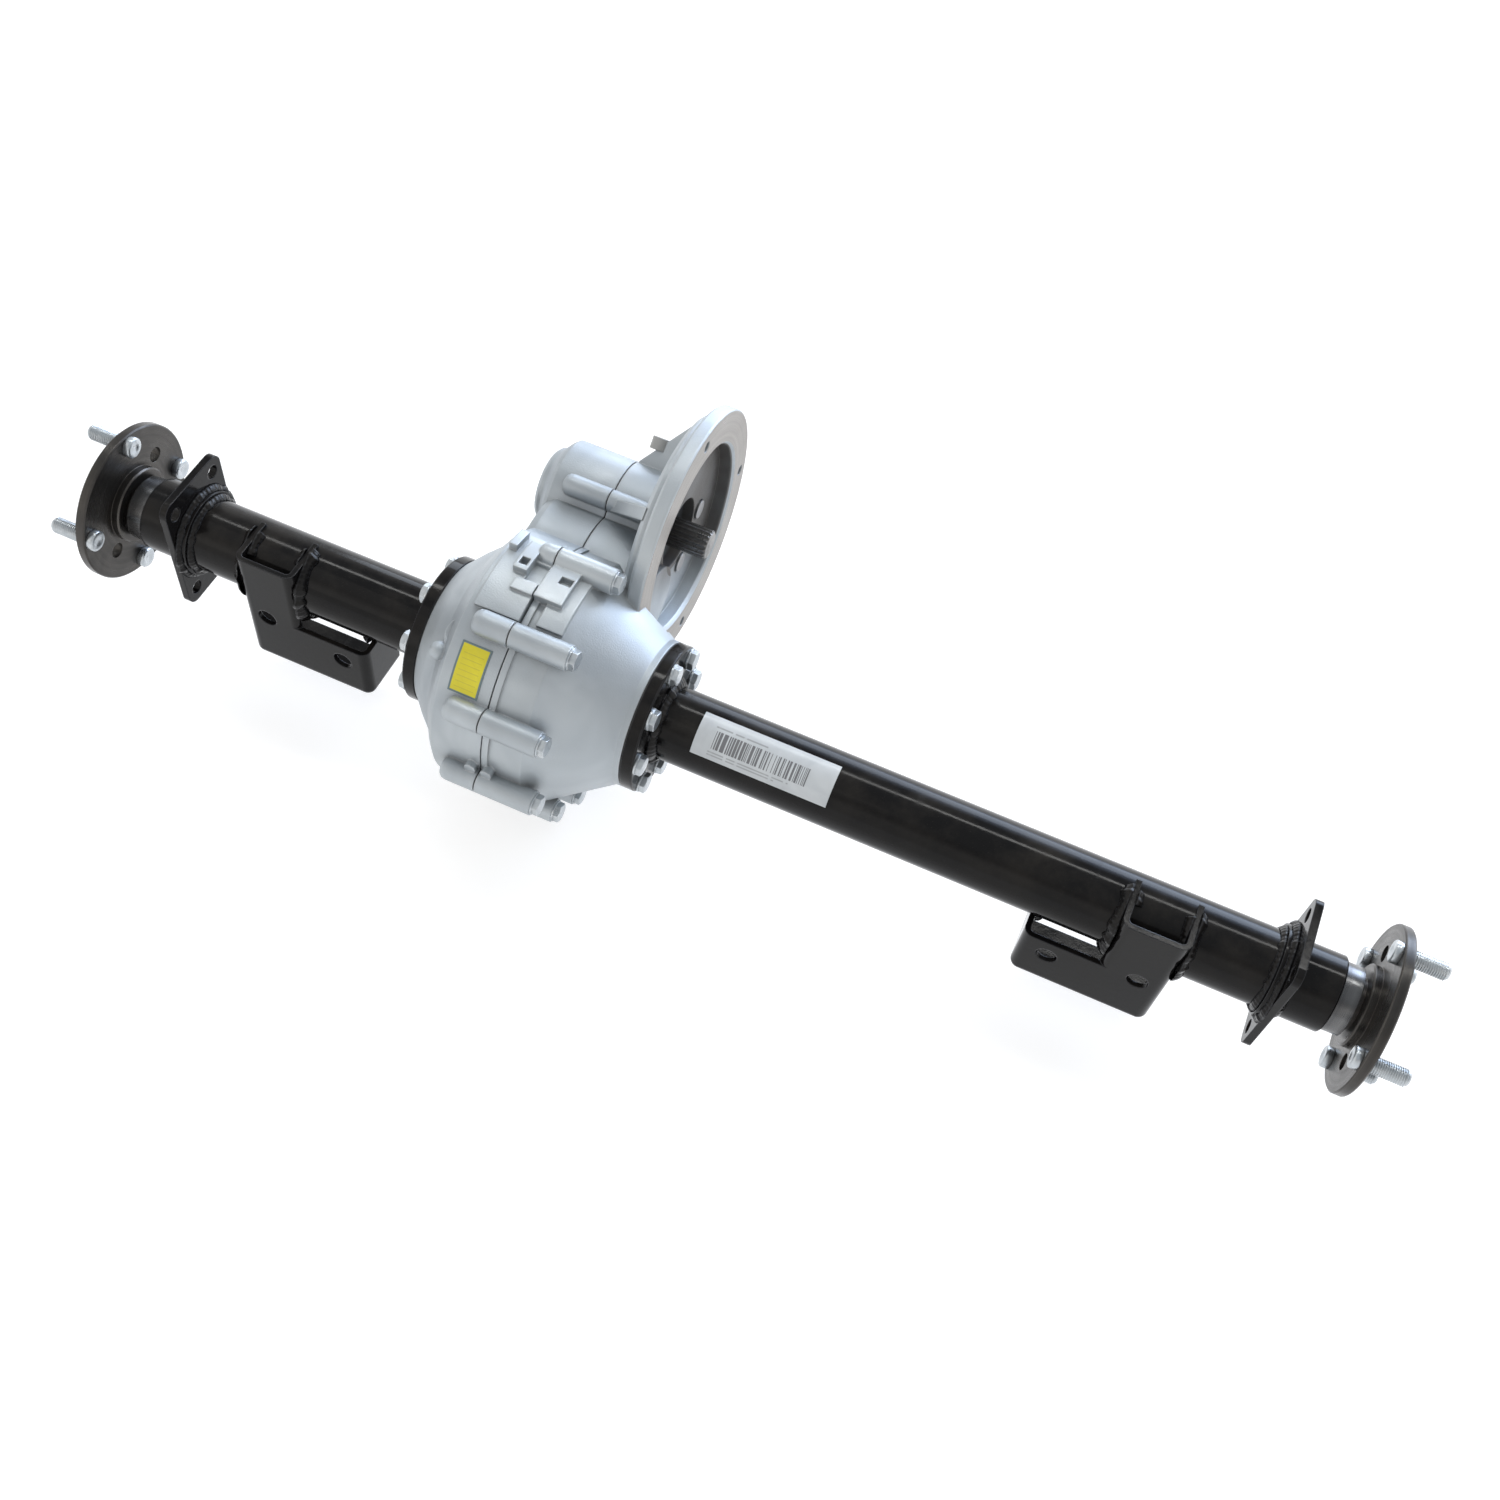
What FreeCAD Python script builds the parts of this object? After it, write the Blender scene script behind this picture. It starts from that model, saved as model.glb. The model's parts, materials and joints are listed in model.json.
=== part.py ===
import FreeCAD, Part
import Sketcher
import math
import os

# A rear axle of a small electric vehicle: two axle tubes, a cast two-piece gear case with the
# motor bell on it, two saddle brackets, and the gears, shafts and hubs that turn inside.
# +X runs along the axle from the left hub to the right hub. The origin is the centre of the
# left hub's outer face. Angles round the axle run from +Z towards +Y.

Vector = FreeCAD.Vector
Rotation = FreeCAD.Rotation

doc = FreeCAD.newDocument("axle_housing")
sheet = doc.addObject("Spreadsheet::Sheet", "Sizes")

# name, value (mm, degrees or a count), what it is
TABLE = [
    ("hub_face_span", 949.5, "outer face of one hub to the outer face of the other"),
    ("fit", 0.02, "radial room of a seated round part"),
    ("running_gap", 0.04, "radial room of a part that turns on or in another"),
    ("end_gap", 0.3, "end room between parts that turn past each other"),
    ("hub_disc_radius", 59.75, "wheel hub disc"),
    ("hub_disc_thickness", 7.5, "wheel hub disc"),
    ("hub_boss_radius", 29, "boss behind the hub disc"),
    ("hub_boss_length", 6, "boss behind the hub disc"),
    ("hub_neck_radius", 18.5, "neck between boss and collar"),
    ("hub_edge_chamfer", 1, "edge of the hub disc"),
    ("hub_access_radius", 6, "access holes in the hub disc"),
    ("hub_access_reach", 38, "centre of the access holes"),
    ("stud_circle_radius", 50.8, "wheel stud circle"),
    ("stud_count", 4, "wheel studs a side"),
    ("stud_radius", 6, "wheel stud thread"),
    ("stud_knurl_radius", 7.1, "pressed-in shoulder of a wheel stud"),
    ("stud_knurl_taper", 0.1, "pressed-in shoulder, thinner at its outer end"),
    ("stud_head_radius", 8, "wheel stud head"),
    ("stud_head_height", 5.3, "wheel stud head"),
    ("stud_reach", 24.4, "wheel stud beyond the hub face"),
    ("stud_point", 2, "chamfered end of a wheel stud"),
    ("left_stud_angle", 11.1, "first left wheel stud"),
    ("right_stud_angle", 19.3, "first right wheel stud"),
    ("shaft_radius", 12.5, "half shaft"),
    ("collar_radius", 24, "bearing retaining collar"),
    ("collar_length", 11.9, "bearing retaining collar"),
    ("collar_start", 17.1, "hub face to the collar"),
    ("tube_outer_radius", 27, "axle tube"),
    ("tube_bore_radius", 22, "axle tube"),
    ("tube_start", 29.5, "hub face to the open end of the axle tube"),
    ("hub_bearing_outer", 23.5, "hub bearing"),
    ("hub_bearing_width", 12, "hub bearing"),
    ("hub_seal_width", 7, "hub seal"),
    ("plate_start", 60.5, "hub face to the brake plate"),
    ("plate_thickness", 5.5, "brake plate"),
    ("plate_height", 104, "brake plate, along Z"),
    ("plate_width", 67, "brake plate, along Y"),
    ("plate_corner", 9, "brake plate corner radius"),
    ("plate_hole_radius", 5.3, "brake plate holes"),
    ("plate_hole_pitch_z", 80, "brake plate holes, along Z"),
    ("plate_hole_pitch_y", 46, "brake plate holes, along Y"),
    ("weld_ring_radius", 32.5, "weld ring beside the brake plate"),
    ("weld_ring_length", 6, "weld ring beside the brake plate"),
    ("left_bracket_start", 115, "left hub face to the left saddle bracket"),
    ("right_bracket_start", 127.2, "right hub face to the right saddle bracket"),
    ("bracket_tall_width", 46.8, "tall part of a saddle bracket, along X"),
    ("bracket_wide_width", 100.4, "wide part of a saddle bracket, along X"),
    ("bracket_top", 29, "top edge of the tall part above the axle"),
    ("bracket_step", 28, "top edge of the wide part below the axle"),
    ("bracket_bottom", 79, "lowest plate of the bracket below the axle"),
    ("bracket_plate", 4, "plate thickness of the bracket"),
    ("bracket_lip", 10.5, "edge of the bracket past the axle, low down"),
    ("bracket_top_lip", 6.8, "edge of the tall walls past the axle, above it"),
    ("bracket_flange_drop", 19, "lower end of the channel's inner wall below the axle"),
    ("bracket_bend", 7, "outer bend radius of the bracket"),
    ("bracket_hole_radius", 7.5, "holes in the bracket web"),
    ("bracket_hole_start", 18.5, "bracket's outer side to the first web hole"),
    ("bracket_hole_pitch", 61, "between the web holes, along X"),
    ("bracket_outer_hole_drop", 28.8, "outer web hole below the axle"),
    ("bracket_inner_hole_drop", 43.8, "inner web hole below the axle"),
    ("flange_radius", 54.5, "bolted flange at the case end of a tube"),
    ("flange_thickness", 9, "bolted flange at the case end of a tube"),
    ("flange_gasket", 1, "gasket between flange and case"),
    ("flange_weld", 5, "weld fillet between flange and tube"),
    ("flange_bolt_reach", 46, "flange bolt circle radius"),
    ("flange_bolt_count", 8, "flange bolts a side"),
    ("flange_bolt_radius", 4, "flange bolt shank"),
    ("flange_bolt_depth", 13, "flange bolt in the case"),
    ("bolt_head_radius", 7.5, "corner radius of a hexagon head"),
    ("bolt_head_height", 5.5, "hexagon head"),
    ("bolt_washer_radius", 8, "round flange under a hexagon head"),
    ("bolt_washer_height", 1.3, "round flange under a hexagon head"),
    ("bolt_hole_room", 0.5, "radial room of a bolt in a clearance hole"),
    ("left_flange_bolt_angle", -9.6, "first left flange bolt"),
    ("right_flange_bolt_angle", 8, "first right flange bolt"),
    ("case_left_face", 271.5, "left end face of the case"),
    ("case_seam", 343.5, "middle of the joint between the case halves"),
    ("case_right_face", 428.8, "right end face of the case"),
    ("seam_gasket", 1, "gasket between the case halves"),
    ("seam_gasket_inset", 0.8, "gasket edge inside the case outline"),
    ("left_band_radius", 92, "round band of the left case half"),
    ("right_band_radius", 90.5, "round band of the right case half"),
    ("left_band_start", 305.5, "where the dome meets the band"),
    ("right_band_end", 372.5, "where the band meets the cone"),
    ("right_cone_end", 424, "where the cone meets the right rim"),
    ("case_wall", 6.5, "wall of the casting"),
    ("case_cavity_end", 371, "right end of the round cavity"),
    ("throat_room", 2.5, "cavity round the differential case on the right"),
    ("boss_reach", 96, "centre of the bolt bosses round the case"),
    ("boss_radius", 9, "bolt bosses round the case"),
    ("boss_left_length", 27.5, "bolt bosses to the left of the joint"),
    ("top_boss_length", 13.5, "top boss to the left of the joint"),
    ("boss_point", 4.5, "bolt end inside the left end of its boss"),
    ("boss_round", 6, "rounded left end of a boss"),
    ("boss_right_end", 385.5, "right ends of the bolt bosses"),
    ("case_bolt_radius", 4, "case bolt shank"),
    ("left_lug_radius", 96, "raised pad on the left half"),
    ("right_lug_radius", 98.5, "raised pad on the right half"),
    ("low_lug_radius", 94, "lower pad on the right half"),
    ("lug_length", 33, "left pad to the left of the joint"),
    ("post_rise", 5, "posts above the left pad"),
    ("post_length", 6, "outer post on the left pad"),
    ("bar_rise", 2.5, "bar above the left pad"),
    ("pocket_depth", 3, "pockets below the left pad"),
    ("nub_radius", 4.2, "small round nubs beside the joint"),
    ("nub_height", 12, "small round nubs beside the joint"),
    ("nub_foot", 85, "feet of the nubs from the axle"),
    ("nub_inset", 5.5, "nubs from the joint"),
    ("nub_angle", -90, "nubs round the axle"),
    ("knob_radius", 6.5, "round knob on the dome"),
    ("knob_reach", 83.5, "round knob from the axle"),
    ("knob_angle", -43, "round knob round the axle"),
    ("knob_place", 296.5, "round knob along the axle"),
    ("recess_radius", 8, "shallow round recess on the dome"),
    ("recess_reach", 84, "shallow recess from the axle"),
    ("recess_angle", -33, "shallow recess round the axle"),
    ("recess_start", 286, "shallow recess along the axle"),
    ("recess_end", 299.5, "shallow recess along the axle"),
    ("low_boss_inset", 4, "fifth boss inside the circle of the others"),
    ("lip_height", 1.6, "lip of the right half along the joint"),
    ("lip_width", 4.6, "lip of the right half along the joint"),
    ("mid_angle", 75.6, "direction of the intermediate shaft from the axle"),
    ("input_angle", 66.0, "direction of the input shaft from the intermediate shaft"),
    ("first_module", 1.5, "teeth of the first gear pair"),
    ("input_teeth", 20, "input pinion"),
    ("mid_teeth", 55, "intermediate gear"),
    ("first_start", 318, "left face of the intermediate gear"),
    ("first_width", 18, "width of the intermediate gear"),
    ("final_module", 2, "teeth of the final gear pair"),
    ("pinion_teeth", 14, "pinion on the intermediate shaft"),
    ("ring_teeth", 63, "ring gear"),
    ("ring_start", 346, "left face of the ring gear"),
    ("ring_width", 22, "width of the ring gear"),
    ("pressure_angle", 25, "pressure angle of all teeth"),
    ("tooth_play", 0.12, "each flank of a spur gear's teeth set back"),
    ("bevel_play", 0.24, "each flank of a bevel gear's teeth set back"),
    ("lobe_radius", 37.5, "round lobe over the input shaft"),
    ("lobe_start", 296, "left end of the lobe"),
    ("cap_radius", 28, "bearing cap on the left end of the lobe"),
    ("cap_start", 285.5, "left end of the bearing cap"),
    ("lobe_boss_reach", 37.6, "bolt bosses round the lobe"),
    ("lobe_boss_radius", 8, "bolt bosses round the lobe"),
    ("lobe_boss_length", 35.5, "bosses round the lobe to the left of the joint"),
    ("neck_radius", 50.5, "round wall over the intermediate gear"),
    ("neck_start", 299, "left end of that wall"),
    ("mid_cap_radius", 29, "bearing cap of the intermediate shaft"),
    ("mid_cap_start", 293, "left end of that cap"),
    ("bell_radius", 97, "motor bell rim"),
    ("bell_face", 400.9, "front face of the motor bell"),
    ("bell_rim", 10.9, "thickness of the bell rim"),
    ("bell_back_radius", 89, "back plate of the motor bell"),
    ("bell_back", 382.5, "back of the bell's plate"),
    ("bell_opening", 71, "recess of the motor bell"),
    ("bell_floor", 389, "floor of the bell recess"),
    ("bell_chamfer", 2.5, "chamfer of the bell opening"),
    ("bell_hole_reach", 86, "tapped holes in the bell rim"),
    ("bell_hole_radius", 4.2, "tapped holes in the bell rim"),
    ("bell_hole_depth", 9, "tapped holes in the bell rim"),
    ("bell_hole_angle", 6, "first tapped hole in the bell rim"),
    ("bell_hole_count", 4, "tapped holes in the bell rim"),
    ("well_radius", 27, "deep well round the input shaft"),
    ("seal_floor", 370, "floor of that well"),
    ("mid_dome_radius", 29.5, "boss of the intermediate bearing in the bell"),
    ("mid_dome_end", 394, "end of that boss"),
    ("motor_relief", 84, "room for the motor beside the case cone"),
    ("motor_relief_low", 81, "room for the motor beside the right rim"),
    ("rim_start", 419.1, "left side of the right rim"),
    ("diff_bearing_outer", 36, "differential bearing"),
    ("diff_bearing_width", 17, "differential bearing"),
    ("diff_journal_radius", 17.5, "differential bearing bore"),
    ("left_diff_bearing", 276, "left face of the left differential bearing"),
    ("right_diff_bearing", 403, "left face of the right differential bearing"),
    ("mid_bearing_outer", 23.5, "intermediate shaft bearing"),
    ("mid_bearing_width", 14, "intermediate shaft bearing"),
    ("mid_journal_radius", 10, "intermediate shaft bearing bore"),
    ("left_mid_bearing", 299, "left face of the left intermediate bearing"),
    ("right_mid_bearing", 373, "left face of the right intermediate bearing"),
    ("input_bearing_outer", 20, "left input bearing"),
    ("input_bearing_width", 12, "left input bearing"),
    ("input_journal_radius", 8.5, "left input bearing bore"),
    ("left_input_bearing", 290.5, "left face of the left input bearing"),
    ("drive_bearing_outer", 26, "right input bearing"),
    ("drive_bearing_width", 15, "right input bearing"),
    ("drive_journal_radius", 12.5, "right input bearing bore"),
    ("right_input_bearing", 346, "left face of the right input bearing"),
    ("input_seal_radius", 21, "input seal"),
    ("input_seal_width", 7, "input seal"),
    ("spline_radius", 11, "splined end of the input shaft"),
    ("spline_depth", 1.5, "grooves of the splined end"),
    ("spline_count", 18, "grooves of the splined end"),
    ("spline_reach", 13, "input shaft beyond the bell face"),
    ("diff_centre", 372, "centre of the differential"),
    ("diff_body_radius", 43, "differential case"),
    ("diff_cavity_radius", 35.5, "room for the differential gears"),
    ("diff_cavity_half", 24, "half length of that room"),
    ("diff_flange_edge", 6, "ring gear flange outside its screws"),
    ("diff_flange_width", 7, "ring gear flange"),
    ("diff_tube_radius", 24, "left neck of the differential case"),
    ("diff_cover_width", 6, "cover of the differential case"),
    ("cover_screw_inset", 3.7, "screws of the cover inside its edge"),
    ("ring_screw_room", 9, "ring gear screws outside the differential case"),
    ("ring_screw_count", 8, "ring gear screws"),
    ("ring_screw_radius", 3, "ring gear screws"),
    ("ring_screw_head", 5, "ring gear screw heads"),
    ("side_teeth", 14, "differential side gears"),
    ("spider_teeth", 10, "differential spider gears"),
    ("side_pitch_radius", 27, "differential side gears at the large end"),
    ("side_hub_radius", 16, "hubs of the side gears"),
    ("side_hub_length", 10, "hubs of the side gears in the case"),
    ("side_flange_radius", 19.8, "backs of the side gears"),
    ("side_seat_radius", 11, "splined seat of a side gear"),
    ("washer_thickness", 1.4, "thrust washers"),
    ("pin_radius", 7, "cross pin"),
    ("pin_half", 41, "half length of the cross pin"),
    ("spider_face", 25.5, "large ends of the spider gears from the centre"),
    ("spider_hub_radius", 12, "hubs of the spider gears"),
    ("spider_seat", 36, "flat seats of the spider gears in the case"),
    ("plug_radius", 8, "drain and fill plugs"),
    ("plug_head", 11, "corner radius of the plug heads"),
    ("plug_head_height", 7, "plug heads"),
    ("plug_boss_radius", 14, "plug bosses"),
    ("plug_boss_reach", 99, "plug bosses from the axle"),
    ("plug_thread", 13, "threaded length of a plug"),
    ("plug_place", 322, "plugs along the axle"),
    ("fill_angle", 185, "fill plug"),
    ("drain_angle", 147, "drain plug"),
    ("breather_radius", 7, "breather cap"),
    ("breather_height", 9, "breather cap"),
    ("breather_place", 354.5, "breather along the axle"),
    ("breather_foot", 50, "foot of the breather from the input shaft"),
    ("gusset_angle", 46, "top gusset of the bell, round the input shaft"),
    ("gusset_top", 88, "height of the bell gussets at the bell"),
    ("gusset_thickness", 10, "gussets of the bell"),
    ("dome_first_rise", 11, "first step of the dome from the left face"),
    ("dome_first_radius", 66, "dome at the first step"),
    ("dome_second_rise", 23, "second step of the dome"),
    ("dome_second_radius", 77, "dome at the second step"),
    ("dome_third_rise", 30, "third step of the dome"),
    ("dome_third_radius", 87.5, "dome at the third step"),
    ("label_thickness", 0.3, "labels"),
    ("label_glue", 0.12, "glue under the labels"),
    ("yellow_start", 312.8, "yellow label along the axle"),
    ("yellow_length", 21.8, "yellow label"),
    ("yellow_turn", 22, "yellow label round the case"),
    ("yellow_angle", -33.8, "upper edge of the yellow label"),
    ("white_start", 468, "white label along the axle"),
    ("white_length", 100.5, "white label"),
    ("white_turn", 66, "white label round the tube"),
    ("white_angle", 3, "upper edge of the white label"),
]


class Term:
    # A number together with the sheet text that gives it.
    def __init__(self, number, text):
        self.number = float(number)
        self.text = text

    def joined(self, sign, other, number):
        return Term(number, "(" + self.text + " " + sign + " " + other.text + ")")

    def __add__(self, other):
        other = term(other)
        return self.joined("+", other, self.number + other.number)

    def __sub__(self, other):
        other = term(other)
        return self.joined("-", other, self.number - other.number)

    def __mul__(self, other):
        other = term(other)
        return self.joined("*", other, self.number * other.number)

    def __truediv__(self, other):
        other = term(other)
        return self.joined("/", other, self.number / other.number)

    def __neg__(self):
        return term(0) - self

    def __radd__(self, other):
        return term(other) + self

    def __rsub__(self, other):
        return term(other) - self


def term(value):
    if isinstance(value, Term):
        return value
    if value < 0:
        return Term(value, "(0 - " + str(-value) + ")")
    return Term(value, str(value))


def sine(angle):
    angle = term(angle)
    return Term(math.sin(math.radians(angle.number)), "sin(" + angle.text + ")")


def cosine(angle):
    angle = term(angle)
    return Term(math.cos(math.radians(angle.number)), "cos(" + angle.text + ")")


class Size:
    pass


size = Size()
for row, (name, value, note) in enumerate(TABLE, start=1):
    sheet.set("A" + str(row), name)
    sheet.set("B" + str(row), str(value))
    sheet.set("C" + str(row), note)
    sheet.setAlias("B" + str(row), name)
    setattr(size, name, Term(value, "Sizes." + name))
doc.recompute()

ALONG = Rotation(Vector(0, 1, 0), 90)


def bind(thing, name, value):
    if isinstance(value, Term):
        thing.setExpression(name, value.text)
    else:
        setattr(thing, name, value)


def place(thing, at, rotation=Rotation()):
    numbers = [term(value).number for value in at]
    thing.Placement = FreeCAD.Placement(Vector(*numbers), rotation)
    for axis, value in zip("xyz", at):
        if isinstance(value, Term):
            thing.setExpression(".Placement.Base." + axis, value.text)
    return thing


def turn_x(angle):
    # Turns +Z towards +Y by the angle.
    return Rotation(Vector(1, 0, 0), -term(angle).number)


def polar(reach, angle, centre=(0, 0)):
    # The Y and Z of a point at a reach and an angle from a line along X.
    reach = term(reach)
    across = reach * sine(angle)
    up = reach * cosine(angle)
    if isinstance(centre[0], Term):
        across = centre[0] + across
        up = centre[1] + up
    return across, up


def cylinder(label, radius, start, end, centre=(0, 0)):
    # A round bar along X from start to end.
    thing = doc.addObject("Part::Cylinder", label)
    bind(thing, "Radius", radius)
    bind(thing, "Height", term(end) - start)
    return place(thing, (start, centre[0], centre[1]), ALONG)


def sector(label, radius, start, end, first, last):
    # A slice of a round bar along X between two angles.
    thing = doc.addObject("Part::Cylinder", label)
    bind(thing, "Radius", radius)
    bind(thing, "Height", term(end) - start)
    bind(thing, "Angle", term(last) - first)
    return place(thing, (start, 0, 0), turn_x(term(last) - 180) * ALONG)


def hexagon(label, radius, start, height, centre=(0, 0)):
    thing = doc.addObject("Part::Prism", label)
    thing.Polygon = 6
    bind(thing, "Circumradius", radius)
    bind(thing, "Height", height)
    return place(thing, (start, centre[0], centre[1]), ALONG)


def cone(label, first, last, start, end, centre=(0, 0)):
    thing = doc.addObject("Part::Cone", label)
    bind(thing, "Radius1", first)
    bind(thing, "Radius2", last)
    bind(thing, "Height", term(end) - start)
    return place(thing, (start, centre[0], centre[1]), ALONG)


def spoke(label, kind, radius, height, start, reach, angle):
    # A round or hexagonal bar that points away from the axle.
    thing = doc.addObject("Part::Prism" if kind == "hexagon" else "Part::Cylinder", label)
    if kind == "hexagon":
        thing.Polygon = 6
        bind(thing, "Circumradius", radius)
    else:
        bind(thing, "Radius", radius)
    bind(thing, "Height", height)
    across, up = polar(reach, angle)
    return place(thing, (start, across, up), turn_x(angle))


def rib(label, start, end, foot, low, high, thickness, angle, centre=(0, 0)):
    # A cast rib along X whose outer edge climbs from low to high.
    thing = doc.addObject("Part::Wedge", label)
    half = term(thickness) / 2
    thing.Ymin = 0
    bind(thing, "Ymax", term(end) - start)
    bind(thing, "Xmin", -half)
    bind(thing, "Xmax", half)
    bind(thing, "X2min", -half)
    bind(thing, "X2max", half)
    bind(thing, "Zmin", foot)
    bind(thing, "Zmax", low)
    bind(thing, "Z2min", foot)
    bind(thing, "Z2max", high)
    return place(thing, (start, centre[0], centre[1]), turn_x(angle) * Rotation(Vector(0, 0, 1), -90))


def fused(label, pieces):
    thing = doc.addObject("Part::MultiFuse", label)
    thing.Shapes = pieces
    thing.Refine = True
    return thing


def cut(label, base, tool):
    thing = doc.addObject("Part::Cut", label)
    thing.Base = base
    thing.Tool = tool
    thing.Refine = True
    return thing


def shared(label, pieces):
    # What all the pieces have in common.
    thing = doc.addObject("Part::MultiCommon", label)
    thing.Shapes = pieces
    return thing


def raised(label, inner, outer, start, end, first, last):
    # A block that stands on a round wall from one angle to another.
    return cut(label, sector(label + "_outer", outer, start, end, first, last),
               cylinder(label + "_inner", inner, term(start) - 1, term(end) + 1))


def bolt_head(label, foot, outwards, centre):
    # A chamfered hexagon on a round flange, which grows from foot along X.
    height = size.bolt_head_height
    radius = size.bolt_head_radius
    washer = size.bolt_washer_height
    wide = radius * 0.84 + height * 1.73
    if outwards > 0:
        block = hexagon(label + "_hexagon", radius, foot, height, centre)
        shape = cone(label + "_chamfer", wide, radius * 0.84, foot, foot + height, centre)
        base = cylinder(label + "_flange", size.bolt_washer_radius, foot, foot + washer, centre)
    else:
        block = hexagon(label + "_hexagon", radius, foot - height, height, centre)
        shape = cone(label + "_chamfer", radius * 0.84, wide, foot - height, foot, centre)
        base = cylinder(label + "_flange", size.bolt_washer_radius, foot - washer, foot, centre)
    return [shared(label + "_head", [block, shape]), base]


def group(label, pieces):
    thing = doc.addObject("Part::Compound", label)
    thing.Links = pieces
    return thing


def origin_plane(body, role):
    for feature in body.Origin.OriginFeatures:
        if feature.Role == role:
            return feature


def sketch_on(body, role, name):
    sketch = body.newObject("Sketcher::SketchObject", name)
    sketch.AttachmentSupport = [(origin_plane(body, role), "")]
    sketch.MapMode = "FlatFace"
    return sketch


def fix_point(sketch, line, end, across, up):
    # Holds one end of a line at its place in the sketch.
    for kind, axis, value in (("DistanceX", -2, across), ("DistanceY", -1, up)):
        if not isinstance(value, Term) and value == 0:
            sketch.addConstraint(Sketcher.Constraint("PointOnObject", line, end, axis))
            continue
        index = sketch.addConstraint(Sketcher.Constraint(kind, line, end, term(value).number))
        if isinstance(value, Term):
            sketch.setExpression("Constraints[" + str(index) + "]", value.text)


def draw_outline(sketch, points):
    count = len(points)
    spots = [Vector(term(a).number, term(b).number, 0) for a, b in points]
    for index in range(count):
        sketch.addGeometry(Part.LineSegment(spots[index], spots[(index + 1) % count]), False)
    for index in range(count):
        sketch.addConstraint(Sketcher.Constraint("Coincident", index, 2, (index + 1) % count, 1))
    for index, (across, up) in enumerate(points):
        fix_point(sketch, index, 1, across, up)


def draw_circle(sketch, across, up, radius):
    spot = Vector(term(across).number, term(up).number, 0)
    index = sketch.addGeometry(Part.Circle(spot, Vector(0, 0, 1), term(radius).number), False)
    fix_point(sketch, index, 3, across, up)
    edge = sketch.addConstraint(Sketcher.Constraint("Radius", index, term(radius).number))
    if isinstance(radius, Term):
        sketch.setExpression("Constraints[" + str(edge) + "]", radius.text)


def turned(label, outline, centre=(0, 0), start=0):
    # A turned piece: the outline is given as pairs of a place along X and a radius.
    body = doc.addObject("PartDesign::Body", label)
    sketch = sketch_on(body, "XY_Plane", label + "_outline")
    draw_outline(sketch, outline)
    revolution = body.newObject("PartDesign::Revolution", label + "_turned")
    revolution.Profile = sketch
    revolution.ReferenceAxis = (sketch, ["H_Axis"])
    revolution.Angle = 360
    revolution.Refine = True
    sketch.Visibility = False
    body.Tip = revolution
    return place(body, (start, centre[0], centre[1]))


def drill(body, name, circles, depth, count=1, role="YZ_Plane", towards_plus=True):
    # Cuts round holes from an origin plane of the body, repeated round its axis.
    doc.recompute()
    before = body.Shape.Volume
    sketch = sketch_on(body, role, name + "_circles")
    for across, up, radius in circles:
        draw_circle(sketch, across, up, radius)
    pocket = body.newObject("PartDesign::Pocket", name)
    pocket.Profile = sketch
    pocket.Reversed = towards_plus
    bind(pocket, "Length", depth)
    sketch.Visibility = False
    body.Tip = pocket
    if isinstance(count, Term) or count > 1:
        doc.recompute()
        pattern = body.newObject("PartDesign::PolarPattern", name + "_round")
        pattern.Originals = [pocket]
        pattern.Axis = (sketch, ["N_Axis"])
        pattern.Angle = 360
        bind(pattern, "Occurrences", count)
        body.Tip = pattern
    doc.recompute()
    if body.Shape.Volume > before - 0.5:
        raise RuntimeError(name + " removes nothing")


def ring(label, inner, outer, start, end, centre=(0, 0)):
    return turned(label, [(start, inner), (start, outer), (end, outer), (end, inner)], centre)


def bearing(label, journal, outer, start, width, centre=(0, 0)):
    # A sealed ball bearing as one ring, its shields set back between the two races.
    inner = journal + size.running_gap
    band = (outer - inner) / 4
    end = start + width
    back = term(0.6)
    low = inner + band
    high = outer - band
    outline = [
        (start, inner), (start, low), (start + back, low), (start + back, high), (start, high),
        (start, outer), (end, outer), (end, high), (end - back, high), (end - back, low),
        (end, low), (end, inner),
    ]
    return turned(label, outline, centre)


nodes = []


def keep(thing):
    nodes.append(thing)
    return thing


# Centres of the intermediate and input shafts, worked out from the gears that mesh.
final_reach = size.final_module * (size.ring_teeth + size.pinion_teeth) / 2
first_reach = size.first_module * (size.mid_teeth + size.input_teeth) / 2
mid = polar(final_reach, size.mid_angle)
drive = polar(first_reach, size.input_angle, mid)
left_seam = size.case_seam - size.seam_gasket / 2
right_seam = size.case_seam + size.seam_gasket / 2

# Toothed wheels are drawn as true involute outlines.


def flank(teeth, module, steps, play):
    # Radii of a tooth flank and its half width in radians at each of them.
    pitch = teeth * module / 2
    pressure = math.radians(size.pressure_angle.number)
    base = pitch * math.cos(pressure)
    low = pitch - 1.25 * module
    high = pitch + module
    half = math.pi / (2 * teeth) - play.number / pitch
    half = half + math.tan(pressure) - pressure
    start = max(low, base)
    places = []
    for step in range(steps + 1):
        radius = start + (high - start) * step / steps
        slope = math.acos(min(1, base / radius))
        places.append((radius, half - (math.tan(slope) - slope)))
    if low < base - 0.001:
        places.insert(0, (low, places[0][1]))
    return places


def gear_outline(teeth, module, first_angle, steps=3):
    # The closed outline of a spur gear as angles round X and radii, one tooth at first_angle.
    side = flank(teeth, module, steps, size.tooth_play)
    spots = []
    for tooth in range(int(teeth)):
        middle = math.radians(first_angle) + 2 * math.pi * tooth / teeth
        spots += [(middle - half, radius) for radius, half in side]
        spots += [(middle + half, radius) for radius, half in reversed(side)]
    return spots


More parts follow.
